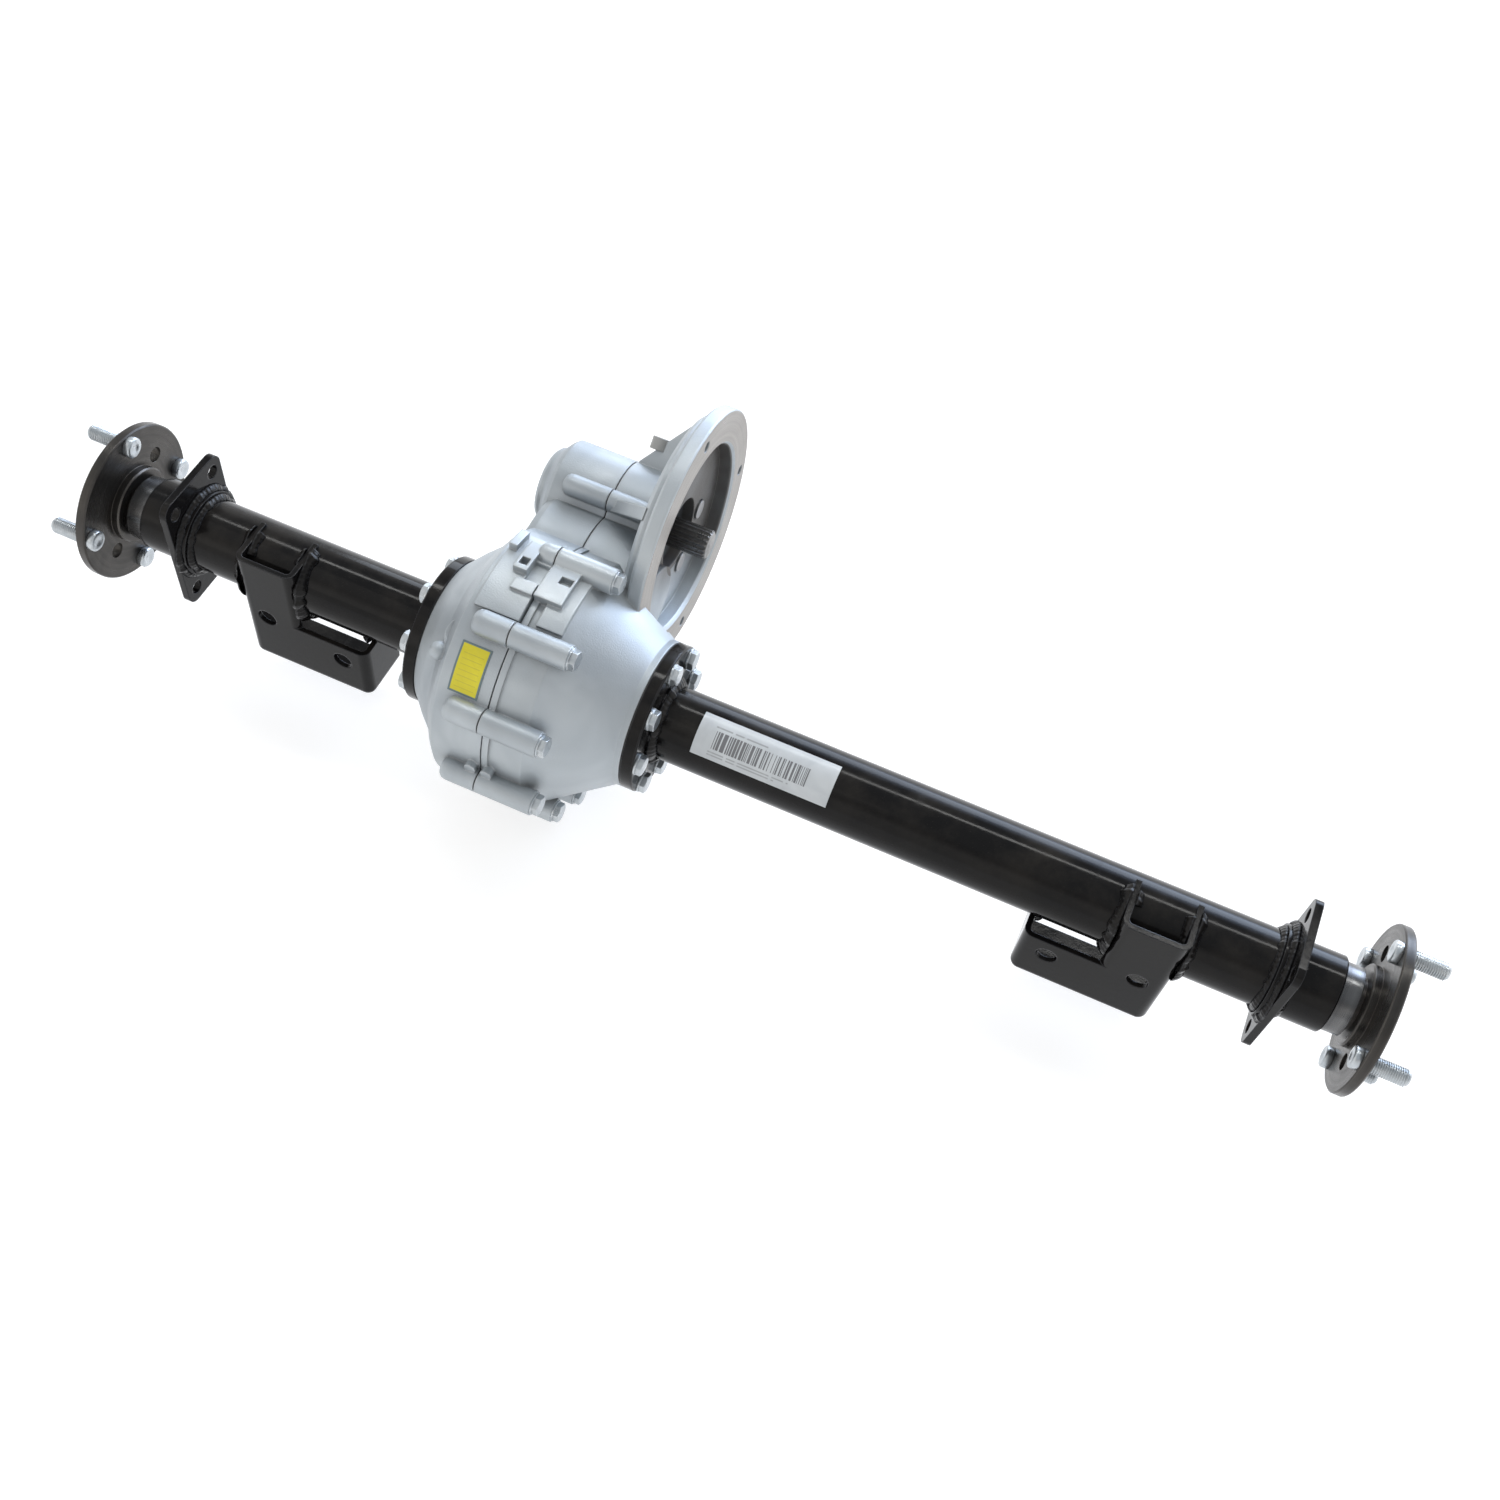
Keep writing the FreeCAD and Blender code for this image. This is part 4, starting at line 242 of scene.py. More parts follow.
def makeSettledDust():
    # dust that lies on faces that look up, in patches and specks
    look = {"lies": (0.1, 1.0, 0.12, 1.0), "patch": (0.42, 0.72), "patchShare": 0.7,
            "speckScale": 420.0, "speck": (0.16, 0.08), "speckShare": 0.55}
    group, given, result = startGroup("settledDust", {"Amount": 0.2, "Patches": 26.0},
                                      {"Mask": "NodeSocketFloat"})
    place = objectPlace(group)
    up = splitVector(group, addNode(group, "ShaderNodeNewGeometry").outputs["Normal"])["Z"]
    patches = addNode(group, "ShaderNodeTexNoise",
                      {"Vector": place, "Scale": given["Patches"], "Detail": 5.0,
                       "Roughness": 0.65})
    patch = rangeNode(group, patches.outputs["Fac"], *look["patch"])
    specks = addNode(group, "ShaderNodeTexVoronoi",
                     {"Vector": place, "Scale": look["speckScale"]})
    speck = rangeNode(group, specks.outputs["Distance"], *look["speck"])
    cover = mathNode(group, "MAXIMUM", multiply(group, patch, look["patchShare"]),
                     multiply(group, speck, look["speckShare"]))
    lies = rangeNode(group, up, *look["lies"])
    group.links.new(multiply(group, cover, lies, given["Amount"]), result["Mask"])
    return group


def makeCornerGrimeAndShade():
    # painted shade with grime: the colour darkens in corners and hollows, where shade falls, in
    # uneven patches of oil and grey dirt
    look = {"samples": 5, "depth": (0.88, 0.35), "uneven": (0.3, 0.7, 0.45, 1.0)}
    group, given, result = startGroup("cornerGrimeAndShade", {"Reach": 0.008, "Patches": 60.0},
                                      {"Mask": "NodeSocketFloat"})
    hollow = addNode(group, "ShaderNodeAmbientOcclusion", {"Distance": given["Reach"]},
                     samples=look["samples"], only_local=True)
    patches = addNode(group, "ShaderNodeTexNoise",
                      {"Vector": objectPlace(group), "Scale": given["Patches"],
                       "Detail": 4.0})
    depth = rangeNode(group, hollow.outputs["AO"], *look["depth"])
    uneven = rangeNode(group, patches.outputs["Fac"], *look["uneven"])
    group.links.new(multiply(group, depth, uneven), result["Mask"])
    return group


def makeFineScuffs():
    # short scratches that run every way, from three stretched noises
    look = {"turns": ((0.4, 0.9, 0.2), (1.7, 0.3, 1.1), (0.9, 2.1, 2.4)),
            "stretch": (1.0, 0.06, 1.0), "line": (0.66, 0.74)}
    group, given, result = startGroup("fineScuffs", {"Scale": 160.0},
                                      {"Mask": "NodeSocketFloat"})
    place = objectPlace(group)
    strongest = 0.0
    for turn in look["turns"]:
        turned = addNode(group, "ShaderNodeMapping",
                         {"Vector": place, "Rotation": turn, "Scale": look["stretch"]})
        noise = addNode(group, "ShaderNodeTexNoise",
                        {"Vector": turned.outputs[0], "Scale": given["Scale"],
                         "Detail": 3.0, "Roughness": 0.6})
        line = rangeNode(group, noise.outputs["Fac"], *look["line"])
        strongest = mathNode(group, "MAXIMUM", line, strongest)
    group.links.new(strongest, result["Mask"])
    return group


softEdges = makeSoftEdges()
castSkin = makeCastSkin()
turnedMarks = makeTurnedMarks()
settledDust = makeSettledDust()
cornerGrimeAndShade = makeCornerGrimeAndShade()
fineScuffs = makeFineScuffs()
print("shared effects built")


def startFinish(name, metallic, roughness, fixed=None):
    # a new material with its constant values on the shader's own sockets
    material = bpy.data.materials.new(name)
    material.use_nodes = True
    tree = material.node_tree
    shader = tree.nodes["Principled BSDF"]
    values = {"Metallic": metallic, "Roughness": roughness, **(fixed or {})}
    for label, value in values.items():
        shader.inputs[label].default_value = value
    return material, tree, shader


def addRelief(tree, shader, height, depth, edges):
    # the height's bumps lie on the softened normal
    bump = addNode(tree, "ShaderNodeBump",
                   {"Height": height, "Distance": depth, "Strength": 1.0,
                    "Normal": edges["Normal"]})
    tree.links.new(bump.outputs[0], shader.inputs["Normal"])


def brighter(colour, times):
    return tuple(min(1.0, value * times) for value in colour[:3]) + (1,)


blackPaint = {
    "colour": (0.0066, 0.0062, 0.0064, 1),
    "edgeWearAndHighlight": (0.075, 0.079, 0.088, 1),
    "edgeWearAndHighlightAmount": 0.5,
    "dust": (0.26, 0.225, 0.18, 1),
    "dustAmount": 0.10,
    "roughness": (0.06, 0.15),
    "scuffRoughness": 0.12,
    "dustRoughness": 1.2,
    "edgeRadius": 0.0013,
    "peel": 0.00005,
    "peelScale": 260.0,
    "patches": 22.0,
    "scuffs": 120.0,
    "shine": {"Specular IOR Level": 0.14, "Coat Weight": 0.045, "Coat Roughness": 0.04},
}


def glossBlackPaint():
    look = blackPaint
    material, tree, shader = startFinish("glossBlackPaint", 0.0, 0.14, look["shine"])
    edges = useGroup(tree, softEdges, {"Radius": look["edgeRadius"]})
    skin = useGroup(tree, castSkin, {"Grain": look["peelScale"], "Patches": look["patches"]})
    dust = useGroup(tree, settledDust, {"Amount": look["dustAmount"]})
    scuffs = useGroup(tree, fineScuffs, {"Scale": look["scuffs"]})
    # painted highlight with edge wear: the edges turn bluish grey, as rubbed paint and as the
    # light's sheen along the rims
    edgeWearAndHighlight = tintWhere(tree, look["colour"], edges["Edge"], look["edgeWearAndHighlightAmount"], look["edgeWearAndHighlight"])
    dusty = mixColour(tree, dust["Mask"], edgeWearAndHighlight, look["dust"])
    tree.links.new(dusty, shader.inputs["Base Color"])
    rough = rangeNode(tree, skin["Tone"], 0.0, 1.0, *look["roughness"])
    rough = addShare(tree, rough, scuffs["Mask"], look["scuffRoughness"])
    rough = addShare(tree, rough, dust["Mask"], look["dustRoughness"])
    tree.links.new(rough, shader.inputs["Roughness"])
    addRelief(tree, shader, skin["Height"], look["peel"], edges)
    return material


castMetal = {
    "light": (0.50, 0.54, 0.565, 1),
    "dark": (0.37, 0.405, 0.435, 1),
    "edge": (0.66, 0.68, 0.69, 1),
    "edgeAmount": 0.45,
    "grimeAndShade": (0.10, 0.095, 0.09, 1),
    "grimeAndShadeAmount": 0.55,
    "grimeAndShadeReach": 0.009,
    "dust": (0.42, 0.40, 0.37, 1),
    "dustAmount": 0.16,
    "grain": 0.00016,
    "grainScale": 780.0,
    "patches": 13.0,
    "edgeRadius": 0.0016,
    "roughness": (0.52, 0.42),
    "grimeAndShadeRoughness": 0.2,
    "metallic": (0.72, 0.35),  # bare, and under grime with painted shade and under the bell's painted shade
    # painted shade: the machined ring face is coloured a dark brown-grey, darker than bare
    # machined metal
    "machinedShadedFace": ((0.20, 0.185, 0.17, 1), (0.30, 0.275, 0.25, 1)),
    "machinedRings": 2200.0,
    "machinedRoughness": -0.16,
    "machinedGrain": 0.1,
    "ringHeight": 0.2,
    # painted shade inside the motor bell: its recess and throat are coloured dark brown, and its
    # lit lower wall is left out
    "bellShadeColour": (0.075, 0.066, 0.058, 1),
    "bellShadeAmount": (0.95, 0.72),
    "bellShadeDulling": 0.8,
    # where the bell is
    "bellCentre": (0.1259678, 0.0420281),
    "bellFace": 0.4009,
    "faceSlack": 0.00012,
    "faceTurn": (0.9, 0.98),
    "bellFloor": 0.389,
    "bellMouth": 0.0716,
    "mouthSlack": 0.0003,
    "throat": 0.031,
    "throatFront": (0.376, 0.381),
    "riseShares": (0.6, 0.8),  # how Y and Z share in the way from the low side up
    "litBelow": (-0.048, -0.012),
}


def bellMasks(tree, look):
    # the machined ring face lies at one place along the axle, coloured with painted shade;
    # behind it lies more painted shade, a dark brown inside the bell and its throat, but not on
    # the lit lower wall
    centre = look["bellCentre"]
    spot = splitVector(tree, objectPlace(tree))
    along = spot["X"]
    facing = splitVector(tree, addNode(tree, "ShaderNodeNewGeometry").outputs["Normal"])["X"]
    near = mathNode(tree, "COMPARE", along, look["bellFace"])
    near.node.inputs[2].default_value = look["faceSlack"]
    machinedShadedFace = multiply(tree, near, rangeNode(tree, facing, *look["faceTurn"]))
    across = mathNode(tree, "SUBTRACT", spot["Y"], centre[0])
    up = mathNode(tree, "SUBTRACT", spot["Z"], centre[1])
    reach = reachNode(tree, across, up)
    slack = look["mouthSlack"]
    mouth = look["bellMouth"]
    inMouth = rangeNode(tree, reach, mouth + slack, mouth)
    beforeFloor = mathNode(tree, "GREATER_THAN", along, look["bellFloor"] - slack)
    inThroat = multiply(tree, mathNode(tree, "LESS_THAN", reach, look["throat"]),
                        rangeNode(tree, along, *look["throatFront"]))
    acrossShare, upShare = look["riseShares"]
    rise = addShare(tree, multiply(tree, across, acrossShare), up, upShare)
    aboveLitWall = rangeNode(tree, rise, *look["litBelow"])
    bellShadeMask = mathNode(tree, "MAXIMUM", multiply(tree, inMouth, beforeFloor, aboveLitWall),
                     inThroat)
    return machinedShadedFace, bellShadeMask


def castAluminium():
    look = castMetal
    material, tree, shader = startFinish("castAluminium", look["metallic"][0], 0.46)
    edges = useGroup(tree, softEdges, {"Radius": look["edgeRadius"]})
    skin = useGroup(tree, castSkin, {"Grain": look["grainScale"], "Patches": look["patches"]})
    grimeAndShade = useGroup(tree, cornerGrimeAndShade, {"Reach": look["grimeAndShadeReach"]})
    dust = useGroup(tree, settledDust, {"Amount": look["dustAmount"]})
    rings = useGroup(tree, turnedMarks, {"Centre Y": look["bellCentre"][0],
                                         "Centre Z": look["bellCentre"][1],
                                         "Rings": look["machinedRings"]})
    machinedShadedFace, bellShadeMask = bellMasks(tree, look)
    cast = mixColour(tree, skin["Tone"], look["dark"], look["light"])
    # lighter on every edge, convex and concave: partly rubbed wear, partly a painted highlight
    cast = tintWhere(tree, cast, edges["Edge"], look["edgeAmount"], look["edge"])
    # painted shade with grime: dark brown-grey in corners and hollows
    cast = tintWhere(tree, cast, grimeAndShade["Mask"], look["grimeAndShadeAmount"], look["grimeAndShade"])
    cast = mixColour(tree, dust["Mask"], cast, look["dust"])
    # painted shade: the bell's shaded inside takes the dark brown colour
    bellShadeShare = multiply(tree, bellShadeMask, rangeNode(tree, skin["Tone"], 0.0, 1.0, *look["bellShadeAmount"]))
    cast = mixColour(tree, bellShadeShare, cast, look["bellShadeColour"])
    # painted shade on the machined ring face: its lathe rings in dark brown-grey
    ringTone = mixColour(tree, rings["Tone"], *look["machinedShadedFace"])
    tree.links.new(mixColour(tree, machinedShadedFace, cast, ringTone), shader.inputs["Base Color"])
    rough = rangeNode(tree, skin["Tone"], 0.0, 1.0, *look["roughness"])
    rough = addShare(tree, rough, grimeAndShade["Mask"], look["grimeAndShadeRoughness"])
    rough = addShare(tree, rough, machinedShadedFace, look["machinedRoughness"])
    tree.links.new(rough, shader.inputs["Roughness"])
    dullness = mathNode(tree, "MAXIMUM", grimeAndShade["Mask"], multiply(tree, bellShadeShare, look["bellShadeDulling"]))
    tree.links.new(rangeNode(tree, dullness, 0.0, 1.0, *look["metallic"]),
                   shader.inputs["Metallic"])
    grain = multiply(tree, skin["Height"],
                     rangeNode(tree, machinedShadedFace, 0.0, 1.0, 1.0, look["machinedGrain"]))
    lathe = multiply(tree, rings["Height"], multiply(tree, machinedShadedFace, look["ringHeight"]))
    addRelief(tree, shader, mathNode(tree, "ADD", grain, lathe), look["grain"], edges)
    return material


lathedSteel = {
    "edgeRadius": 0.0007,
    "edgeBright": 1.5,
    "edgeAmount": 0.7,
    "grimeAndShade": (0.05, 0.042, 0.035, 1),
    "grimeAndShadeReach": 0.006,
    "grain": 500.0,
    "patches": 30.0,
}


def turnedSteel(name, dark, light, metallic, rough, rings=2400.0, depth=0.00003,
                grimeAndShadeAmount=0.5):
    # steel that was turned round the axle's own line
    look = lathedSteel
    material, tree, shader = startFinish(name, metallic, rough[0])
    edges = useGroup(tree, softEdges, {"Radius": look["edgeRadius"]})
    marks = useGroup(tree, turnedMarks, {"Rings": rings})
    skin = useGroup(tree, castSkin, {"Grain": look["grain"], "Patches": look["patches"]})
    grimeAndShade = useGroup(tree, cornerGrimeAndShade, {"Reach": look["grimeAndShadeReach"]})
    tone = multiply(tree, mathNode(tree, "ADD", marks["Tone"], skin["Tone"]), 0.5)
    colour = mixColour(tree, tone, dark, light)
    # lighter on every edge, convex and concave: partly rubbed wear, partly a painted highlight
    bright = brighter(light, look["edgeBright"])
    colour = tintWhere(tree, colour, edges["Edge"], look["edgeAmount"], bright)
    # painted shade with grime: dark brown in corners and hollows
    colour = tintWhere(tree, colour, grimeAndShade["Mask"], grimeAndShadeAmount, look["grimeAndShade"])
    tree.links.new(colour, shader.inputs["Base Color"])
    tree.links.new(rangeNode(tree, tone, 0.0, 1.0, rough[1], rough[0]),
                   shader.inputs["Roughness"])
    addRelief(tree, shader, marks["Height"], depth, edges)
    return material


platedMetal = {
    "edgeRadius": 0.0006,
    "edgeBright": 1.25,
    "edgeAmount": 0.6,
    "grimeAndShade": (0.06, 0.052, 0.045, 1),
    "grimeAndShadeReach": 0.004,
    "grimeAndShadePatches": 140.0,
    "dust": (0.32, 0.29, 0.25, 1),
    "dustAmount": 0.08,
    "scuffs": 260.0,
    "scuffRoughness": 0.1,
}


def speckledMetal(name, dark, light, metallic, rough, grain, patches, depth,
                  grimeAndShadeAmount=0.4):
    # plated, ground or cast metal without lathe marks
    look = platedMetal
    material, tree, shader = startFinish(name, metallic, rough[0])
    edges = useGroup(tree, softEdges, {"Radius": look["edgeRadius"]})
    skin = useGroup(tree, castSkin, {"Grain": grain, "Patches": patches})
    grimeAndShade = useGroup(tree, cornerGrimeAndShade, {"Reach": look["grimeAndShadeReach"],
                                         "Patches": look["grimeAndShadePatches"]})
    dust = useGroup(tree, settledDust, {"Amount": look["dustAmount"]})
    scuffs = useGroup(tree, fineScuffs, {"Scale": look["scuffs"]})
    colour = mixColour(tree, skin["Tone"], dark, light)
    # lighter on every edge, convex and concave: partly rubbed wear, partly a painted highlight
    bright = brighter(light, look["edgeBright"])
    colour = tintWhere(tree, colour, edges["Edge"], look["edgeAmount"], bright)
    # painted shade with grime: dark brown in corners and hollows
    colour = tintWhere(tree, colour, grimeAndShade["Mask"], grimeAndShadeAmount, look["grimeAndShade"])
    colour = mixColour(tree, dust["Mask"], colour, look["dust"])
    tree.links.new(colour, shader.inputs["Base Color"])
    uneven = rangeNode(tree, skin["Tone"], 0.0, 1.0, rough[1], rough[0])
    uneven = addShare(tree, uneven, scuffs["Mask"], look["scuffRoughness"])
    tree.links.new(uneven, shader.inputs["Roughness"])
    addRelief(tree, shader, skin["Height"], depth, edges)
    return material


softSheet = {
    "edgeRadius": 0.0005,
    "patches": 40.0,
    "dust": (0.22, 0.19, 0.16, 1),
    "dustAmount": 0.3,
}


def softBlack(name, dark, light, rough, grain, depth):
    # rubber, gasket board and moulded plastic
    look = softSheet
    material, tree, shader = startFinish(name, 0.0, rough[0])
    edges = useGroup(tree, softEdges, {"Radius": look["edgeRadius"]})
    skin = useGroup(tree, castSkin, {"Grain": grain, "Patches": look["patches"]})
    dust = useGroup(tree, settledDust, {"Amount": look["dustAmount"]})
    colour = mixColour(tree, skin["Tone"], dark, light)
    colour = mixColour(tree, dust["Mask"], colour, look["dust"])
    tree.links.new(colour, shader.inputs["Base Color"])
    tree.links.new(rangeNode(tree, skin["Tone"], 0.0, 1.0, *rough),
                   shader.inputs["Roughness"])
    addRelief(tree, shader, skin["Height"], depth, edges)
    return material


# The two labels carry plain printed marks, with nothing written in them.
# Places along the axle are in metres, and turns round it in degrees.
whitePaper = {
    "name": "whiteLabel",
    "paper": (0.64, 0.67, 0.69, 1),
    "shade": (0.53, 0.56, 0.585, 1),
    "ink": (0.10, 0.10, 0.11, 1),
    "inkAmount": 0.88,
    "bars": (0.4795, 0.5505, 0.0001),
    "barTurn": (-46.0, -19.0, 0.3),
    "barWidth": 0.00050,
    "barChance": 0.47,
    "rules": ((0.4795, 0.5175, -14.5, -12.2), (0.4795, 0.5390, -52.0, -50.2),
              (0.4795, 0.5290, -56.2, -54.4)),
    "ruleSoft": (0.0002, 0.5),
    "dashWidth": 0.0021,
    "dash": (0.15, 0.3, 0.0, 0.55),
    "patches": 45.0,
    "relief": 0.00004,
    "roughness": 0.34,
    "shine": {"Coat Weight": 0.25, "Coat Roughness": 0.12},
}
yellowFoil = {
    "name": "yellowLabel",
    "foil": (0.76, 0.67, 0.010, 1),
    "shade": (0.66, 0.57, 0.009, 1),
    "border": (0.13, 0.19, 0.20, 1),
    "ink": (0.46, 0.40, 0.03, 1),
    "inkAmount": 0.55,
    "along": (0.3128, 0.3346),
    "turn": (-55.8, -33.8),
    "borderWidth": 0.0014,
    "borderSoft": (0.0001, 0.06),
    "radius": 0.0924,
    "lines": 7,
    "firstLine": 3.2,  # in border widths from the edge
    "lineStep": 2.45,
    "lineHalf": 0.16,
    "lineSoft": (0.0002, 0.06),
    "lineInset": 0.0035,
    "patches": 80.0,
    "relief": 0.00005,
    "roughness": 0.36,
    "shine": {"Coat Weight": 0.3, "Coat Roughness": 0.15},
}
bothLabels = {
    "edgeRadius": 0.0003,
    "grain": 420.0,
    "dust": (0.45, 0.42, 0.38, 1),
    "dustAmount": 0.12,
}


def insideNode(tree, value, low, high, soft):
    # one between low and high, with soft edges, and nothing outside
    rise = rangeNode(tree, value, low - soft, low + soft)
    fall = rangeNode(tree, value, high + soft, high - soft)
    return multiply(tree, rise, fall)


def makeLabel(look, printMarks):
    # printMarks gives the label's colour from its place along the axle and its turn round it
    material, tree, shader = startFinish(look["name"], 0.0, look["roughness"], look["shine"])
    edges = useGroup(tree, softEdges, {"Radius": bothLabels["edgeRadius"]})
    skin = useGroup(tree, castSkin, {"Grain": bothLabels["grain"],
                                     "Patches": look["patches"]})
    dust = useGroup(tree, settledDust, {"Amount": bothLabels["dustAmount"]})
    axes = splitVector(tree, objectPlace(tree))
    turn = mathNode(tree, "DEGREES", mathNode(tree, "ARCTAN2", axes["Y"], axes["Z"]))
    colour = printMarks(tree, look, axes["X"], turn, skin["Tone"])
    colour = mixColour(tree, dust["Mask"], colour, bothLabels["dust"])
    tree.links.new(colour, shader.inputs["Base Color"])
    addRelief(tree, shader, skin["Height"], look["relief"], edges)
    return material


def stepChance(tree, along, width):
    # one random value for each step along the axle
    step = mathNode(tree, "FLOOR", mathNode(tree, "DIVIDE", along, width))
    return addNode(tree, "ShaderNodeTexWhiteNoise", {"W": step},
                   noise_dimensions="1D").outputs["Value"]


def printBars(tree, look, along, turn, tone):
    bars = mathNode(tree, "GREATER_THAN", stepChance(tree, along, look["barWidth"]),
                    look["barChance"])
    printed = multiply(tree, bars, insideNode(tree, along, *look["bars"]),
                       insideNode(tree, turn, *look["barTurn"]))
    dashes = rangeNode(tree, stepChance(tree, along, look["dashWidth"]), *look["dash"])
    alongSoft, turnSoft = look["ruleSoft"]
    for start, end, low, high in look["rules"]:
        rule = multiply(tree, insideNode(tree, along, start, end, alongSoft),
                        insideNode(tree, turn, low, high, turnSoft), dashes)
        printed = mathNode(tree, "MAXIMUM", printed, rule)
    paper = mixColour(tree, tone, look["shade"], look["paper"])
    return tintWhere(tree, paper, printed, look["inkAmount"], look["ink"])


def printGrid(tree, look, along, turn, tone):
    start, end = look["along"]
    low, high = look["turn"]
    edge = look["borderWidth"]
    sweep = math.degrees(edge / look["radius"])
    alongSoft, turnSoft = look["borderSoft"]
    inner = multiply(tree, insideNode(tree, along, start + edge, end - edge, alongSoft),
                     insideNode(tree, turn, low + sweep, high - sweep, turnSoft))
    foil = mixColour(tree, tone, look["shade"], look["foil"])
    alongSoft, turnSoft = look["lineSoft"]
    lines = 0.0
    for index in range(look["lines"]):
        middle = low + sweep * look["firstLine"] + index * look["lineStep"]
        line = insideNode(tree, turn, middle - look["lineHalf"], middle + look["lineHalf"],
                          turnSoft)
        lines = mathNode(tree, "MAXIMUM", line, lines)
    lines = multiply(tree, lines, insideNode(tree, along, start + look["lineInset"],
                                             end - look["lineInset"], alongSoft))
    foil = tintWhere(tree, foil, lines, look["inkAmount"], look["ink"])
    return mixColour(tree, inner, look["border"], foil)


finishes = {
    "black_paint": glossBlackPaint(),
    "cast_aluminium": castAluminium(),
    "hub_steel": turnedSteel("oiledHubSteel", (0.034, 0.032, 0.030, 1),
                             (0.086, 0.080, 0.074, 1), 0.85, (0.22, 0.38)),
    "zinc_steel": speckledMetal("zincPlate", (0.43, 0.47, 0.50, 1), (0.59, 0.62, 0.64, 1),
                                0.85, (0.24, 0.38), 900.0, 90.0, 0.00003),
    "plain_steel": turnedSteel("turnedCollarSteel", (0.085, 0.085, 0.088, 1),
                               (0.20, 0.20, 0.20, 1), 0.9, (0.16, 0.30)),
    "seal_rubber": softBlack("sealRubber", (0.018, 0.018, 0.018, 1),
                             (0.032, 0.031, 0.030, 1), (0.5, 0.68), 700.0, 0.00005),
    "gasket": softBlack("jointGasket", (0.045, 0.048, 0.050, 1), (0.085, 0.085, 0.083, 1),
                        (0.6, 0.8), 1100.0, 0.00008),
    "bearing_steel": turnedSteel("groundBearingSteel", (0.50, 0.50, 0.51, 1),
                                 (0.62, 0.62, 0.63, 1), 0.95, (0.14, 0.26), rings=3800.0,
                                 depth=0.00001, grimeAndShadeAmount=0.7),
    "gear_steel": speckledMetal("cutGearSteel", (0.26, 0.26, 0.265, 1),
                                (0.38, 0.38, 0.385, 1), 0.92, (0.26, 0.40), 700.0, 60.0,
                                0.00003, grimeAndShadeAmount=0.7),
    "diff_iron": speckledMetal("castIron", (0.10, 0.098, 0.095, 1), (0.18, 0.175, 0.17, 1),
                               0.7, (0.48, 0.62), 420.0, 30.0, 0.00014, grimeAndShadeAmount=0.6),
    "bronze": speckledMetal("bearingBronze", (0.42, 0.29, 0.13, 1), (0.58, 0.42, 0.21, 1),
                            0.92, (0.28, 0.42), 800.0, 60.0, 0.00003),
    "spline_steel": speckledMetal("splineSteel", (0.12, 0.118, 0.115, 1),
                                  (0.23, 0.225, 0.22, 1), 0.92, (0.26, 0.40), 800.0, 70.0,
                                  0.00003, grimeAndShadeAmount=0.75),
    "dark_plastic": softBlack("ventPlastic", (0.30, 0.30, 0.29, 1), (0.38, 0.38, 0.37, 1),
                              (0.4, 0.5), 600.0, 0.00005),
    "yellow_label": makeLabel(yellowFoil, printGrid),
    "white_label": makeLabel(whitePaper, printBars),
}
for part in parts.values():
    for slot in part.material_slots:
        slot.material = finishes[slot.material.name.split(".")[0]]
parts["bell_screws"].material_slots[0].material = finishes["gear_steel"]  # a darker steel than the zinc plate
print("finishes made:", len(finishes))


def newPiece(name, points, faces, slotName, body):
    # a mesh piece in the frame's own place, with its finish and its body
    mesh = bpy.data.meshes.new(name)
    mesh.from_pydata([tuple(point) for point in points], [], faces)
    mesh.validate()
    mesh.materials.append(finishes[slotName])
    work = bmesh.new()
    work.from_mesh(mesh)
    bmesh.ops.recalc_face_normals(work, faces=work.faces)
    work.to_mesh(mesh)
    work.free()
    for face in mesh.polygons:
        face.use_smooth = True
    piece = bpy.data.objects.new(name, mesh)
    bpy.context.scene.collection.objects.link(piece)
    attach(piece, body)
    return piece


# Wheel studs with rolled threads, in the places of the plain ones.
wheelStud = {
    "count": 4,
    "circle": 0.0508,
    "angles": {"left": 11.1, "right": 19.3},
    "thread": 0.00600,
    "core": 0.00528,
    "pitch": 0.0015,
    "ridge": (1.35, 3.4),  # how wide and how steep
    "reach": 0.0244,
    "point": 0.0022,
    "pointDrop": 0.0013,
    "firstRow": 0.0002,  # the thread's rows start this far from the tip
    "lastRow": 0.0006,  # and leave this much before the hub face
    "disc": 0.0075,
    "knurl": 0.0071,
    "knurlTaper": 0.0001,
    "headRadius": 0.0078,
    "headHeight": 0.0053,
    "headFoot": (0.0003, 0.0002),
    "headRound": ((0.0014, 0.0), (0.0007, 0.00025), (0.0002, 0.0008), (0.0, 0.0016)),
    "headDimple": ((0.0, 0.0034), (0.0003, 0.0029), (0.0004, 0.0)),
    "columns": 28,
    "rowsPerTurn": 6,
}


def studProfile(look):
    # rows from the tip inwards: distance outside the hub face, radius, thread depth
    tip, core, drop = look["reach"], look["core"], look["pointDrop"]
    rows = [(tip, 0.0, 0.0), (tip, core - drop, 0.0)]
    depth = look["thread"] - core
    step = look["pitch"] / look["rowsPerTurn"]
    count = int((tip - look["lastRow"]) / step)
    for index in range(count + 1):
        reach = tip - look["firstRow"] - index * step
        start = min(1.0, (tip - reach) / look["point"])
        rows.append((reach, core - drop * (1 - start), depth * start))
    foot = -look["disc"]
    rows += [(0.0, look["thread"], 0.0), (0.0, look["knurl"] - look["knurlTaper"], 0.0),
             (foot, look["knurl"], 0.0)]
    edge = look["headRadius"]
    top = foot - look["headHeight"]
    down, inset = look["headFoot"]
    rows += [(foot, edge - inset, 0.0), (foot - down, edge, 0.0)]
    rows += [(top + rise, edge - inset, 0.0) for rise, inset in look["headRound"]]
    rows += [(top + rise, radius, 0.0) for rise, radius in look["headDimple"]]
    return rows


